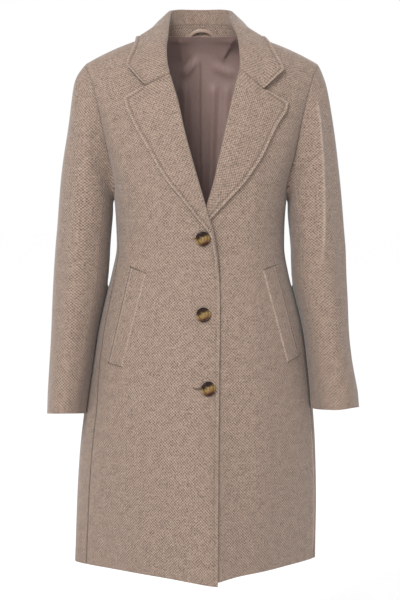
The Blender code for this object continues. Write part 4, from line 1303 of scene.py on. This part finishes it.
def wool_twill(name, light, dark, deep, pale):
    """Two-tone wool twill: slanted ribs broken into floats, with flecks of both yarns and a soft nap.

    It is matt, with a faint haze at the edges. The seam attribute darkens seam lines with painted shade and
    paints highlights.
    """
    material, tree = new_material(name)
    weave = add_node(tree, "UVMap", {"uv_map": "weave"}, {})
    across = add_node(tree, "SeparateXYZ", {}, {0: weave}, "X")
    upward = add_node(tree, "SeparateXYZ", {}, {0: weave}, "Y")
    uneven = add_node(tree, "TexNoise", {}, {"Vector": weave, "Scale": 1 / WOBBLE_SIZE, "Detail": 1.0})
    wobble = add_node(tree, "Math", MULTIPLY_ADD, {0: uneven, 1: WOBBLE, 2: -WOBBLE / 2})
    slant = add_node(tree, "Math", ADD, {0: across, 1: upward})
    cross = add_node(tree, "Math", SUBTRACT, {0: upward, 1: across})
    lines = []
    for way, pitch in ((slant, TWILL_PITCH), (cross, FLOAT_PITCH)):
        way = add_node(tree, "Math", ADD, {0: way, 1: wobble})
        way = add_node(tree, "Math", MULTIPLY, {0: way, 1: 2 * np.pi / pitch})
        lines.append(add_node(tree, "Math", SINE, {0: way}))
    rib, floats = lines
    fine = {"Vector": weave, "Scale": 1 / FLECK_SIZE, "Detail": 1.0, "Roughness": 0.6}
    flecks = add_node(tree, "TexNoise", {}, fine)
    broad = {"Vector": weave, "Scale": 1 / PATCH_SIZE, "Detail": 2.0, "Roughness": 0.6}
    patches = add_node(tree, "TexNoise", {}, broad)
    woven = (1 - FLECK_SHARE - PATCH_SHARE) / 2
    shares = ((rib, RIB_SHARE), (floats, FLOAT_SHARE), (flecks, FLECK_SHARE), (patches, PATCH_SHARE))
    for pattern, share in shares:
        woven = add_node(tree, "Math", MULTIPLY_ADD, {0: pattern, 1: share, 2: woven})
    woven = add_node(tree, "Clamp", {}, {"Value": woven})
    # Above 0 the seam attribute mixes in the deep colour as dark seams with painted shade, below 0 the pale
    # colour as a painted highlight
    depth = add_node(tree, "Attribute", {"attribute_name": "seam"}, {}, "Fac")
    shade_share = add_node(tree, "Math", MAXIMUM, {0: depth, 1: 0.0})
    highlight_share = add_node(tree, "Math", MULTIPLY, {0: depth, 1: -1.0})
    highlight_share = add_node(tree, "Math", MAXIMUM, {0: highlight_share, 1: 0.0})
    colour = linear(dark)
    for share, tone in ((woven, light), (shade_share, deep), (highlight_share, pale)):
        tones = {"Factor": share, MIX_FIRST: colour, MIX_SECOND: linear(tone)}
        colour = add_node(tree, "Mix", COLOUR_MIX, tones, MIX_RESULT)
    height = add_node(tree, "Math", MULTIPLY, {0: floats, 1: FLOAT_HEIGHT})
    height = add_node(tree, "Math", MULTIPLY_ADD, {0: rib, 1: RIB_HEIGHT, 2: height})
    bump = add_node(tree, "Bump", {}, {"Strength": 0.35, "Distance": WEAVE_DEEP, "Height": height})
    finish = {"Base Color": colour, "Normal": bump, "Roughness": 0.92, "Specular IOR Level": 0.12}
    feed(tree, tree.nodes["Principled BSDF"], {**finish, "Sheen Weight": 0.22, "Sheen Roughness": 0.45})
    return material


def lining_satin(name, colour, deep):
    """Soft satin: a smooth mauve cloth with a low sheen and faint warp lines."""
    material, tree = new_material(name)
    place = add_node(tree, "TexCoord", {}, {}, "Object")
    scale = (1 / WARP_SPACING, 1 / WARP_SPACING, 1 / WARP_LENGTH)
    stretch = add_node(tree, "Mapping", {}, {"Vector": place, "Scale": scale})
    lines = add_node(tree, "TexNoise", {}, {"Vector": stretch, "Scale": 1.0, "Detail": 1.0})
    tones = {"Factor": lines, MIX_FIRST: linear(deep), MIX_SECOND: linear(colour)}
    tone = add_node(tree, "Mix", COLOUR_MIX, tones, MIX_RESULT)
    bump = add_node(tree, "Bump", {}, {"Strength": 0.08, "Distance": WARP_DEEP, "Height": lines})
    finish = {"Base Color": tone, "Normal": bump, "Roughness": 0.42, "Specular IOR Level": 0.4}
    feed(tree, tree.nodes["Principled BSDF"], {**finish, "Sheen Weight": 0.25, "Sheen Roughness": 0.35})
    return material


def button_horn(name, centre):
    """Polished mottled horn: dark upper part, amber middle and red-brown lower part, cloudy edges, a ring of
    painted shade.
    """
    material, tree = new_material(name)
    place = add_node(tree, "TexCoord", {}, {}, "Object")
    local = add_node(tree, "Mapping", {}, {"Vector": place, "Location": tuple(-part for part in centre)})
    across = add_node(tree, "SeparateXYZ", {}, {0: local}, "X")
    height = add_node(tree, "SeparateXYZ", {}, {0: local}, "Z")
    cloudy = {"Vector": local, "Scale": 1 / HORN_CLOUD_SIZE, "Detail": 2.0, "Distortion": 0.5}
    clouds = add_node(tree, "TexNoise", {}, cloudy)
    height = add_node(tree, "Math", MULTIPLY_ADD, {0: across, 1: HORN_TILT, 2: height})
    height = add_node(tree, "Math", ADD, {0: height, 1: -HORN_CLOUD_SHIFT / 2})
    height = add_node(tree, "Math", MULTIPLY_ADD, {0: clouds, 1: HORN_CLOUD_SHIFT, 2: height})
    span = {"Value": height, "From Min": -HORN_HALF, "From Max": HORN_HALF}
    bands = add_node(tree, "ValToRGB", {}, {0: add_node(tree, "MapRange", {}, span)})
    ramp = bands.node.color_ramp
    for number, (at, tone) in enumerate(HORN_BANDS):
        band = ramp.elements[number] if number < 2 else ramp.elements.new(at)
        band.position = at
        band.color = linear(tone)
    # Painted shade in a ring at the edge of the dish
    flat = add_node(tree, "VectorMath", MULTIPLY, {0: local, 1: (1.0, 0.0, 1.0)})
    radius = add_node(tree, "VectorMath", LENGTH, {0: flat}, "Value")
    aside = add_node(tree, "Math", SUBTRACT, {0: radius, 1: RIM_GROOVE})
    aside = add_node(tree, "Math", ABSOLUTE, {0: aside})
    dip = {"Value": aside, "From Min": 0.0, "From Max": GROOVE_WIDE, "To Min": GROOVE_PAINTED_SHADE, "To Max": 0.0}
    groove_shade = add_node(tree, "MapRange", {}, dip)
    tones = {"Factor": groove_shade, MIX_FIRST: bands, MIX_SECOND: linear(GROOVE_SHADE_COLOUR)}
    colour = add_node(tree, "Mix", COLOUR_MIX, tones, MIX_RESULT)
    finish = {"Base Color": colour, "Roughness": 0.34, "Specular IOR Level": 0.12}
    feed(tree, tree.nodes["Principled BSDF"], {**finish, "Coat Weight": 0.05, "Coat Roughness": 0.1})
    return material


def mottled(name, first, second, size, detail, roughness):
    """Matt finish of two close tones in soft patches of the given size, as on thread or a painted floor."""
    material, tree = new_material(name)
    place = add_node(tree, "TexCoord", {}, {}, "Object")
    patches = add_node(tree, "TexNoise", {}, {"Vector": place, "Scale": 1 / size, "Detail": detail})
    tones = {"Factor": patches, MIX_FIRST: linear(first), MIX_SECOND: linear(second)}
    colour = add_node(tree, "Mix", COLOUR_MIX, tones, MIX_RESULT)
    feed(tree, tree.nodes["Principled BSDF"], {"Base Color": colour, "Roughness": roughness})
    return material


def thread(name, colour, pale):
    """Matt sewing thread with a faint twist."""
    return mottled(name, colour, pale, TWIST_LENGTH, 1.0, 0.7)


def new_mesh(name, vertices, faces, material):
    """Smooth mesh object at the origin from arrays of points and of four-cornered faces."""
    mesh = bpy.data.meshes.new(name)
    mesh.from_pydata(vertices.reshape(-1, 3).tolist(), [], faces.tolist())
    mesh.polygons.foreach_set("use_smooth", np.ones(len(mesh.polygons), bool))
    mesh.materials.append(material)
    thing = bpy.data.objects.new(name, mesh)
    bpy.context.scene.collection.objects.link(thing)
    return thing


def quads(rows, places, start=0):
    """Faces of a grid of points numbered row by row."""
    number = start + np.arange(rows * places).reshape(rows, places)
    corners = (number[:-1, :-1], number[:-1, 1:], number[1:, 1:], number[1:, :-1])
    return np.stack(corners, axis=-1).reshape(-1, 4)


def ring_quads(rows, places):
    """Faces of a grid of points whose rows are closed rings."""
    number = np.arange(rows * places).reshape(rows, places)
    beside = np.roll(number, -1, axis=1)
    return np.stack([number[:-1], beside[:-1], beside[1:], number[1:]], axis=-1).reshape(-1, 4)


def outer_face(base, relief, drop):
    """Outer face of a cloth wall and its normals: the grid moved out by the relief and in by the drop."""
    normal = normals(base)
    return base + (relief - drop)[..., None] * normal, normal


def shell(name, base, relief, drop, thickness, weave, seam, material):
    """Closed wall of cloth on a grid: the outer face moved by the relief, the inner face a wall's thickness
    below it, and a rim round the border. The drop thins the wall towards folded edges from both faces."""
    rows, places = base.shape[:2]
    outer, normal = outer_face(base, relief, drop)
    inner = base + (relief + drop - thickness)[..., None] * normal
    count = rows * places
    number = np.arange(count).reshape(rows, places)
    border = np.concatenate([number[0, :-1], number[:-1, -1], number[-1, :0:-1], number[:0:-1, 0]])
    after = np.roll(border, -1)
    rim = np.stack([after, border, border + count, after + count], axis=-1)
    faces = np.concatenate([quads(rows, places), quads(rows, places, count)[:, ::-1], rim])
    thing = new_mesh(name, np.stack([outer, inner]), faces, material)
    mesh = thing.data
    corner = np.empty(len(mesh.loops), np.int32)
    mesh.loops.foreach_get("vertex_index", corner)
    flat = np.concatenate([weave.reshape(-1, 2)] * 2)[corner]
    mesh.uv_layers.new(name="weave").data.foreach_set("uv", flat.ravel())
    # The seam attribute carries the tone: dark seams with painted shade above 0, painted highlight below 0
    depth = mesh.attributes.new("seam", "FLOAT", "POINT")
    depth.data.foreach_set("value", np.concatenate([seam.ravel()] * 2).astype(np.float32))
    return thing


def plain_weave(points):
    """Cloth coordinates of a grid: distance along its rows from the middle and along its middle column."""
    run = lengths(points, 1)
    up = lengths(points, 0)
    run = run - run[:, run.shape[1] // 2][:, None]
    up = np.broadcast_to(up[:, up.shape[1] // 2][:, None], run.shape)
    return np.stack([run, up], axis=-1)


def sleeve_weave(points, side):
    """Cloth coordinates of a sleeve: the angle about its slanting middle line, as an arc, and the height."""
    middle_x = follow(SLEEVE_MIDDLE["height"], SLEEVE_MIDDLE["across"], points[..., 2])
    middle_y = follow(SLEEVE_MIDDLE["height"], SLEEVE_MIDDLE["depth"], points[..., 2])
    turn = np.arctan2(side * points[..., 0] - middle_x, middle_y - points[..., 1])
    turn = np.unwrap(np.unwrap(turn, axis=1), axis=0)
    return np.stack([side * SLEEVE_RADIUS * turn, points[..., 2]], axis=-1)


def capsules(name, starts, ends, lifts, radius, material):
    """Short round stitches between pairs of points: a stretched ball on each, given its upward direction."""
    along = ends - starts
    length = np.linalg.norm(along, axis=1, keepdims=True)
    along = along / length
    side = np.cross(lifts, along)
    side /= np.linalg.norm(side, axis=1, keepdims=True)
    up = np.cross(along, side)
    polar = np.linspace(0, np.pi, STITCH_RINGS)[:, None]
    turn = np.linspace(0, 2 * np.pi, STITCH_SIDES, endpoint=False)[None, :]
    forward = -np.cos(polar) + 0 * turn
    out = np.sin(polar) ** STITCH_SQUARE * np.cos(turn)
    high = np.sin(polar) ** STITCH_SQUARE * np.sin(turn)
    middle = (starts + ends) / 2
    points = (
        middle[:, None, None]
        + forward[None, ..., None] * (along * length / 2)[:, None, None]
        + radius * out[None, ..., None] * side[:, None, None]
        + radius * high[None, ..., None] * up[:, None, None]
    )
    offsets = np.arange(len(starts))[:, None, None] * polar.size * turn.size
    faces = (ring_quads(STITCH_RINGS, STITCH_SIDES)[None] + offsets).reshape(-1, 4)
    return new_mesh(name, points, faces, material)


def seam_stitches(name, lines, material):
    """Topstitching along lines of points with their normals: one stitch every pitch."""
    starts, ends, lifts = [], [], []
    for points, normal in lines:
        run = lengths(points, 0)
        at = np.arange(STITCH_PITCH / 2, run[-1] - STITCH_PITCH, STITCH_PITCH)
        starts.append(sampled(at, run, points))
        ends.append(sampled(at + STITCH_LENGTH, run, points))
        lifts.append(sampled(at, run, normal))
    starts, ends, lifts = (np.concatenate(part) for part in (starts, ends, lifts))
    return capsules(name, starts, ends, lifts, STITCH_RADIUS, material)


def line_at(points, normal, distance, place):
    """Line across a grid where the distance from an edge has the given value, row by row, and its normals."""
    order = np.argsort(distance, axis=1)
    distance = np.take_along_axis(distance, order, axis=1)
    lines = []
    for layer in (points, normal):
        layer = np.take_along_axis(layer, order[..., None], axis=1)
        lines.append(np.array([sampled(place, away, row) for away, row in zip(distance, layer)]))
    return lines


def add_piece(thing, slot, *nodes):
    """Put a piece on the coat's one body and hide the solids that it stands for; the slot, its finish, is not
    used.
    """
    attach(thing, "root")
    if nodes:
        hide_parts(*nodes)


def sew(node, layers, weave=None, thickness=CLOTH, slot="wool_twill"):
    """One cloth piece in place of its solid, with its finish.

    The layers are its grid and, for each point, its relief, its thinning towards edges and its tone of dark
    seams, painted shade and highlight.
    """
    base, relief, drop, tone = layers
    weave = plain_weave(base) if weave is None else weave
    piece = shell(f"{node}_cloth", base, relief, drop, thickness, weave, tone, CLOTHS[slot])
    add_piece(piece, slot, node)


def turned_in(from_seam, from_top):
    """Relief of a panel at its seams, which are pulled in, less so at the shoulder."""
    at_top = SHOULDER_SEAM_SHARE * bell(from_top, 0, SEAM_WIDE)
    return -SEAM_DEEP * np.maximum(bell(from_seam, 0, SEAM_WIDE), at_top)


def sew_front(side_name, side):
    """One front: soft folds, seams turned in, a stitched edge, and a ridge beside the left side seam."""
    base, angles, rows, from_edge, from_seam, run = front_panel(side_name)
    from_hem = lengths(base, 0)
    from_top = from_hem[-1:] - from_hem
    below_break = fade(rows, SETBACK_FULL, SETBACK_LOW)
    relief = folds(base[..., 0], base[..., 2], FRONT_FOLDS) * fade(from_seam, 0, FOLD_CLEAR)
    relief += turned_in(from_seam, from_top)
    relief += FRONT_EDGE_RELIEF * stitched_edge(from_edge) * below_break
    # Dark seam lines with painted shade in their ditches, and painted shade and highlight along the stitched
    # edge
    side_tone = np.where(rows > UNDERARM, SEAM_DARK_AND_SHADE, SIDE_SEAM_DARK_AND_SHADE) * bell(from_seam, 0, SIDE_TONE_WIDE)
    tone = np.maximum(side_tone, SEAM_DARK_AND_SHADE * bell(from_top, 0, SEAM_TONE_WIDE))
    tone += FRONT_EDGE_TONE * stitched_tone(from_edge) * below_break
    if side_name == "left":
        window = fade(rows, SIDE_RIDGE_START, SIDE_RIDGE_FULL) * fade(rows, SIDE_RIDGE_END, SIDE_RIDGE_LOW)
        relief += SIDE_RIDGE_RISE * bell(from_seam, SIDE_RIDGE_PLACE, SIDE_RIDGE_WIDE) * window
        # Painted highlight along the ridge
        tone -= SIDE_RIDGE_PAINTED_HIGHLIGHT * bell(from_seam, SIDE_RIDGE_PLACE, SIDE_RIDGE_HIGHLIGHT_WIDE) * window
    drop = np.maximum(folded_edge(from_edge, CLOTH), folded_edge(from_hem, CLOTH))
    weave = grain(base, angles, run, side * FRONT_GRAIN)
    sew(f"front_{side_name}", (base, relief, drop, tone), weave=weave)


def sew_back():
    """Back: soft folds from the shoulder blades and the waist down, seams turned in and a folded hem."""
    base, angles, rows, from_seam, run = back_panel()
    from_hem = lengths(base, 0)
    from_top = from_hem[-1:] - from_hem
    from_right = run[:, -1:] - run
    relief = folds(base[..., 0], base[..., 2], BACK_FOLDS)
    relief *= fade(base[..., 1], 0.0, BACK_FOLD_DEPTH) * fade(from_seam, 0, FOLD_CLEAR)
    relief += turned_in(from_seam, from_top)
    # Dark seam lines with painted shade in their ditches
    tone = SEAM_DARK_AND_SHADE * np.maximum(bell(from_seam, 0, SEAM_TONE_WIDE), bell(from_top, 0, SEAM_TONE_WIDE))
    tone = np.maximum(tone, SIDE_SEAM_DARK_AND_SHADE * bell(from_right, 0, SIDE_TONE_WIDE) * (rows < UNDERARM))
    layers = (base, relief, folded_edge(from_hem, CLOTH), tone)
    sew("back", layers, weave=grain(base, angles, run, np.pi))


def sew_sleeve(part, side_name, side, first, last, count):
    """One sleeve piece between two seams: its folds, a turned-in armhole seam and a folded cuff."""
    base, relief, crease_highlight, edge_normal = sleeve_grid(first, last, count, side)
    run = lengths(base, 1)
    from_seam = np.minimum(run, run[:, -1:] - run)
    from_armhole = lengths(base, 0)
    from_cuff = from_armhole[-1:] - from_armhole
    seam_share = LEFT_SLEEVE_SEAM if side > 0 else 0.0
    relief = relief * fade(from_seam, 0, SLEEVE_FOLD_CLEAR) * fade(from_armhole, 0, FOLD_CLEAR)
    relief -= seam_share * SEAM_DEEP * bell(from_seam, 0, SEAM_WIDE)
    base = base - (SEAM_DEEP * bell(from_armhole, 0, SEAM_WIDE))[..., None] * edge_normal
    # Dark armhole seam line with painted shade in its ditch, less the painted highlight along the crease
    armhole_tone = SEAM_DARK_AND_SHADE * bell(from_armhole, 0, SEAM_TONE_WIDE)
    tone = np.maximum(seam_share * bell(from_seam, 0, SEAM_TONE_WIDE), armhole_tone) - crease_highlight
    layers = (base, relief, folded_edge(from_cuff, CLOTH), tone)
    node = f"{part}_sleeve_{side_name}"
    sew(node, layers, weave=sleeve_weave(base, side))


def on_fall(numbers):
    """1 on the fall of a turned piece and 0 inside its roll, by column number."""
    return fade(numbers, ROLL_END, ROLL_END + FALL_BLEND)[None, :]


def turned_layers(base, numbers, from_end, loose, notch_lift):
    """Relief, thinning, tone and distance from the edge of a lapel or collar, by grid and column numbers.

    The rim is stitched and lifts a little, the gorge seam is pulled in up to the notch, and the free end
    beyond the notch lifts. Loose is 1 where the piece hangs free and 0 where it lies flush in the front.
    """
    run = lengths(base, 1)
    from_edge = run[:, -1:] - run
    beyond = numbers[None, :] > BEND_COLUMN
    from_rim = np.where(beyond, np.minimum(from_edge, from_end), from_edge)
    gorge = np.where(beyond, 0, bell(from_end, 0, SEAM_WIDE))
    free = fade(numbers, BEND_COLUMN - FALL_BLEND, BEND_COLUMN + 1)[None, :]
    fall = on_fall(numbers)
    relief = stitched_edge(from_rim) * fall * (FLAT_RELIEF + (1 - FLAT_RELIEF) * loose) - GORGE_DEEP * gorge
    relief += EDGE_LIFT * fade(from_rim, EDGE_LIFT_WIDE, 0) * fall * loose
    relief += notch_lift * free * bell(from_end, 0, NOTCH_SPREAD)
    # Painted shade in the stitch groove and in the gorge seam with its dark line, painted highlight along the
    # rim
    tone = stitched_tone(from_rim) * fall * (FLAT_TONE + (1 - FLAT_TONE) * loose) + GORGE_DARK_AND_SHADE * gorge * fall
    return relief, folded_edge(from_rim, TURNED_CLOTH), tone, from_edge


def sew_lapel(side_name, table, edge, notch):
    """One lapel, flush in the front at the right one's lower end; returns its line of topstitching."""
    left = side_name == "left"
    base = lapel(table, edge, notch, left)
    up = lengths(base, 0)
    loose = 1.0 if left else fade(base[:, -1:, 2], LAPEL_END, LAPEL_FULL)
    layers = turned_layers(base, LAPEL_NUMBERS, up[-1:] - up, loose, LAPEL_NOTCH_SHARE * NOTCH_LIFT)
    order = slice(None) if left else slice(None, None, -1)
    base, relief, drop, tone, from_edge = (layer[:, order] for layer in (base, *layers))
    cloth = (base, relief, drop, tone)
    sew(f"lapel_{side_name}", cloth, thickness=TURNED_CLOTH)
    part = np.s_[:-STITCH_END_ROWS, LAPEL_NUMBERS[order] >= ROLL_END]
    outer, normal = outer_face(base, relief, drop)
    return line_at(outer[part], normal[part], from_edge[part], STITCH_PLACE)


def sew_collar():
    """Collar with stitched rim and lifted points; returns its line of topstitching."""
    base = collar_grid()
    up = lengths(base, 0)
    from_end = np.minimum(up, up[-1:] - up)
    relief, drop, tone, from_edge = turned_layers(base, COLLAR_NUMBERS, from_end, 1.0, NOTCH_LIFT)
    # Dark neck seam with painted shade, and painted shade over the collar's inside
    tone += NECK_SEAM_DARK_AND_SHADE * bell(lengths(base, 1), 0, SEAM_TONE_WIDE)
    tone += COLLAR_INSIDE_PAINTED_SHADE * (1 - on_fall(COLLAR_NUMBERS))
    sew("collar", (base, relief, drop, tone), thickness=TURNED_CLOTH)
    part = np.s_[STITCH_END_ROWS:-STITCH_END_ROWS, COLLAR_NUMBERS >= ROLL_END]
    outer, normal = outer_face(base, relief, drop)
    return line_at(outer[part], normal[part], from_edge[part], STITCH_PLACE)


def sew_stand():
    """Collar stand: a plain band under painted shade, darker in its seam to the collar and in the stitch line
    beside it.
    """
    base = stand_grid()
    run = lengths(base, 1)
    from_collar = run[:, -1:] - run
    seam = STAND_SEAM_DARK_AND_SHADE * bell(from_collar, 0, STAND_SEAM_WIDE)
    stitched = STAND_STITCH_DARK_AND_SHADE * bell(from_collar, STAND_STITCH_PLACE, STAND_STITCH_WIDE)
    tone = STAND_PAINTED_SHADE + np.maximum(seam, stitched)
    sew("collar_stand", (base, 0 * run, 0 * run, tone), thickness=TURNED_CLOTH)


def sew_welt(side_name, corners):
    """One pocket welt with stitched lines along its outer side; returns its line of topstitching."""
    left = side_name == "left"
    base = welt_grid(corners, left)
    run = lengths(base, 1)
    up = lengths(base, 0)
    across = (run, run[:, -1:] - run)
    from_inner, from_outer = across if left else across[::-1]
    from_end = np.minimum(up, up[-1:] - up)
    relief = np.full(run.shape, -WELT_SINK)
    # Painted shade at the ends, then painted shade and highlight along the lines
    tone = WELT_END_PAINTED_SHADE * bell(from_end, 0, WELT_END_WIDE)
    for outer, place, width, rise, shade in zip(*WELT_LINES.values()):
        line = bell(from_outer if outer else from_inner, place, width)
        relief += rise * line
        tone += shade * line
    drop = folded_edge(np.minimum(from_inner, np.minimum(from_outer, from_end)), CLOTH)
    sew(f"welt_{side_name}", (base, relief, drop, tone))
    return line_at(*outer_face(base, relief, drop), from_outer, WELT_STITCH)


def sew_lining_back():
    """Back lining: it meets the stand at the neck seam, with a pleat down the centre, folds and tucks."""
    base, angles, _, _, run = back_panel(LINING_LIFT, HEM + LINING_HEM_RISE)
    up = lengths(base, 0)
    from_top = up[-1:] - up
    top = base[-1]
    seam_depth, seam_height = neck_seam(top[:, 0])
    inward = seam_depth - LINING_FRONT - top[:, 1]
    meet = np.stack([0 * inward, inward, seam_height + LINING_LAP - top[:, 2]], axis=-1)
    in_neck = fade(np.abs(top[:, 0]), *COLLAR_BACK["neck_x"][:2])
    base = base + (fade(from_top, LINING_TURN, 0) * in_neck)[..., None] * meet
    across, depth, height = np.moveaxis(base, -1, 0)
    behind = PLEAT_PLACE - across
    pleat = np.where(behind > 0, np.exp(-behind / PLEAT_WIDE), 0) * fade(height, PLEAT_TOP, PLEAT_FULL)
    relief = folds(across, height, LINING_FOLDS) - PLEAT_RISE * pleat - tucks(across, height, LINING_TUCKS)
    relief = np.minimum(relief, LINING_PROUD) * fade(depth, 0.0, LINING_FOLD_DEPTH)
    relief *= fade(from_top, 0, LINING_FOLD_CLEAR)
    layers = (base, relief, 0 * relief, 0 * relief)
    weave = grain(base, angles, run, np.pi)
    sew("lining_back", layers, weave=weave, thickness=LINING_CLOTH, slot="lining_satin")


def sew_lining_front(side_name):
    """One front's lining: a plain piece behind the front, from the facing to the side seam."""
    base = front_panel(side_name, LINING_LIFT)[0]
    facing = int(base.shape[1] * FACING_SHARE)
    part = slice(facing, None) if side_name == "left" else slice(0, -facing)
    base = base[LINING_ROWS, part]
    flat = np.zeros(base.shape[:2])
    layers = (base, flat, flat, flat)
    sew(f"lining_{side_name}", layers, thickness=LINING_CLOTH, slot="lining_satin")


def add_hanger_loop():
    """Hanger loop: a folded satin band bent into an arch, its flat oval section carried along the arch."""
    share = np.linspace(-1, 1, LOOP_STEPS)
    arch = 1 - np.abs(share) ** LOOP_ARCH
    foot_depth = LOOP_FOOT[0] + LOOP_TUCK
    foot_height = LOOP_FOOT[1] + LOOP_SEAT
    depth = foot_depth + (LOOP_TOP[0] - foot_depth) * arch
    height = foot_height + (LOOP_TOP[1] - LOOP_DROP - foot_height) * arch
    path = np.stack([LOOP_HALF_SPAN * share, depth, height], axis=1)
    forward = np.gradient(path, axis=0)
    forward /= np.linalg.norm(forward, axis=1, keepdims=True)
    rearward = np.array((0.0, 1.0, 0.0))
    upward = np.cross(rearward, forward)
    upward /= np.linalg.norm(upward, axis=1, keepdims=True)
    turn = np.linspace(0, 2 * np.pi, LOOP_SIDES, endpoint=False)
    high = np.sign(np.sin(turn)) * np.abs(np.sin(turn)) ** LOOP_SQUARE * LOOP_HALF_WIDE
    deep = np.sign(np.cos(turn)) * np.abs(np.cos(turn)) ** LOOP_SQUARE * LOOP_HALF_THICK
    band = path[:, None] + high[None, :, None] * upward[:, None] + deep[None, :, None] * rearward
    faces = ring_quads(LOOP_STEPS, LOOP_SIDES)[:, ::-1]
    loop_satin = lining_satin("loop_satin", "927c6e", "7d6a5c")
    add_piece(new_mesh("hanger_loop_band", band, faces, loop_satin), "lining_satin", "hanger_loop")


def dress_button(name, across, height):
    """Horn finish of one button; returns its threads' starts, ends and upward directions."""
    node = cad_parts[f"button_{name}"]
    centre = on_front(across, height, BUTTON_TOP)
    facing = on_front(across, height, 1.0) - on_front(across, height, 0.0)
    node.data.materials.clear()
    node.data.materials.append(button_horn(f"button_horn_{name}", centre))
    node.data.shade_smooth()
    node.data.set_sharp_from_angle(angle=BUTTON_SHARP)
    sideways = np.cross((0.0, 0.0, 1.0), facing)
    sideways /= np.linalg.norm(sideways)
    upright = np.cross(facing, sideways)
    half = BUTTON_HOLE_SPREAD / np.sqrt(2)
    seat = centre - facing * (BUTTON_DISH + THREAD_SINK)
    rises = np.add.outer((-half, half), (-THREAD_APART, THREAD_APART)).reshape(-1, 1)
    middles = seat + rises * upright
    return middles - half * sideways, middles + half * sideways, np.tile(facing, (len(rises), 1))


def sew_buttonhole(name, across, height):
    """One buttonhole in the right front: a whipped rim, rounded in section, round a dark sheet of painted
    shadow in the slit.
    """
    turn = np.linspace(0, 2 * np.pi, BUTTONHOLE_STEPS, endpoint=False)[None, :]
    ridge = np.linspace(0, np.pi, BUTTONHOLE_COLUMNS)[:, None]
    out = BUTTONHOLE_WIDE * (1 + BUTTONHOLE_SPREAD * np.cos(ridge))
    ends = np.clip(np.cos(turn) * BUTTONHOLE_SQUARE, -1, 1)
    whip = 1 + WHIP_RISE * np.sin(turn * WHIPS)
    rim_across = across + BUTTONHOLE_HALF * np.cos(turn) + out * ends
    rim_height = height + out * np.sin(turn)
    rim = on_front(rim_across, rim_height, BUTTONHOLE_LIFT + BUTTONHOLE_RISE * np.sin(ridge) * whip)
    faces = ring_quads(*rim.shape[:2])[:, ::-1]
    rim_thread = thread(f"buttonhole_thread_{name}", *HOLE_THREAD[name])
    add_piece(new_mesh(f"buttonhole_{name}", rim, faces, rim_thread), "wool_twill")
    slit_across = across + BUTTONHOLE_HALF * np.linspace(-1, 1, SLIT_STEPS)[None, :]
    slit_height = height + SLIT_HALF * np.linspace(-1, 1, SLIT_ROWS)[:, None]
    slit = on_front(slit_across, slit_height, SLIT_LIFT)
    # The slit is a dark sheet of painted shadow, given the thread finish
    slit_shade = thread(f"slit_shadow_{name}", *SLIT_SHADE_COLOURS)
    add_piece(new_mesh(f"buttonhole_slit_{name}", slit, quads(*slit.shape[:2]), slit_shade), "wool_twill")


def soft_light(name, place, target, size, power):
    """Square soft box at a place, turned to its target."""
    data = bpy.data.lights.new(name, "AREA")
    data.shape = "SQUARE"
    data.size = size
    data.energy = power
    lamp = bpy.data.objects.new(name, data)
    bpy.context.scene.collection.objects.link(lamp)
    lamp.location = place
    lamp.rotation_euler = (Vector(target) - Vector(place)).to_track_quat("-Z", "Y").to_euler()


# Finishes of the cloths by slot, and of the threads
CLOTHS = {
    # The deep colour is for dark seams with painted shade, the pale one for painted highlights
    "wool_twill": wool_twill("wool_twill", "9a8679", "352b24", "2e241d", "c9b7a9"),
    "lining_satin": lining_satin("lining_satin", "8c756f", "77615b"),
}
wool_thread = thread("wool_thread", "63534a", "7d6b5f")
horn_thread = thread("button_thread", "8c745c", "ab947c")

# Coat
for side_name, side in SIDES:
    sew_front(side_name, side)
sew_back()
for side_name, side in SIDES:
    for part, first, last, count in SLEEVE_PIECES:
        sew_sleeve(part, side_name, side, first, last, count)
stitch_lines = [
    sew_lapel("right", LAPEL_RIGHT, EDGE_RIGHT, NOTCH_RIGHT),
    sew_lapel("left", LAPEL_LEFT, EDGE_LEFT, NOTCH_LEFT),
    sew_collar(),
]
sew_stand()
stitch_lines.append(sew_welt("right", WELT_RIGHT))
stitch_lines.append(sew_welt("left", WELT_LEFT))
add_piece(seam_stitches("topstitching", stitch_lines, wool_thread), "wool_twill")

# Lining and hanger loop
sew_lining_back()
for side_name, side in SIDES:
    sew_lining_front(side_name)
add_hanger_loop()

# Buttons with their threads, and the buttonholes beside them
threads = []
for name, across, height, hole_shift in zip(BUTTON_NAMES, *BUTTONS.values()):
    threads.append(dress_button(name, across, height))
    sew_buttonhole(name, across + hole_shift, height)
starts, ends, lifts = (np.concatenate(part) for part in zip(*threads))
button_thread = capsules("button_thread", starts, ends, lifts, BUTTON_THREAD_RADIUS, horn_thread)
add_piece(button_thread, "button_horn")

# Floor, light and camera
bpy.ops.mesh.primitive_plane_add(size=FLOOR_SIZE, location=(0, 0, FLOOR_HEIGHT))
floor = bpy.context.object
floor.name = "floor"
floor.data.materials.append(mottled("studio_floor", "fefefe", "ffffff", FLOOR_CLOUD_SIZE, 2.0, 0.9))
for light in LIGHTS:
    soft_light(*light)
world = bpy.data.worlds.new("studio")
world.use_nodes = True
feed(world.node_tree, world.node_tree.nodes["Background"], {"Color": (1, 1, 1, 1), "Strength": WORLD_LIGHT})
bpy.context.scene.world = world
bpy.context.scene.view_settings.view_transform = "Standard"
lens = bpy.data.cameras.new("camera")
lens.lens = CAMERA_LENS
lens.sensor_width = CAMERA_SENSOR
camera = bpy.data.objects.new("camera", lens)
bpy.context.scene.collection.objects.link(camera)
camera.location = (
    CAMERA_TARGET[0],
    CAMERA_TARGET[1] - CAMERA_DISTANCE * np.cos(CAMERA_ELEVATION),
    CAMERA_TARGET[2] + CAMERA_DISTANCE * np.sin(CAMERA_ELEVATION),
)
camera.rotation_euler = (np.pi / 2 - CAMERA_ELEVATION, 0, 0)
bpy.context.scene.camera = camera
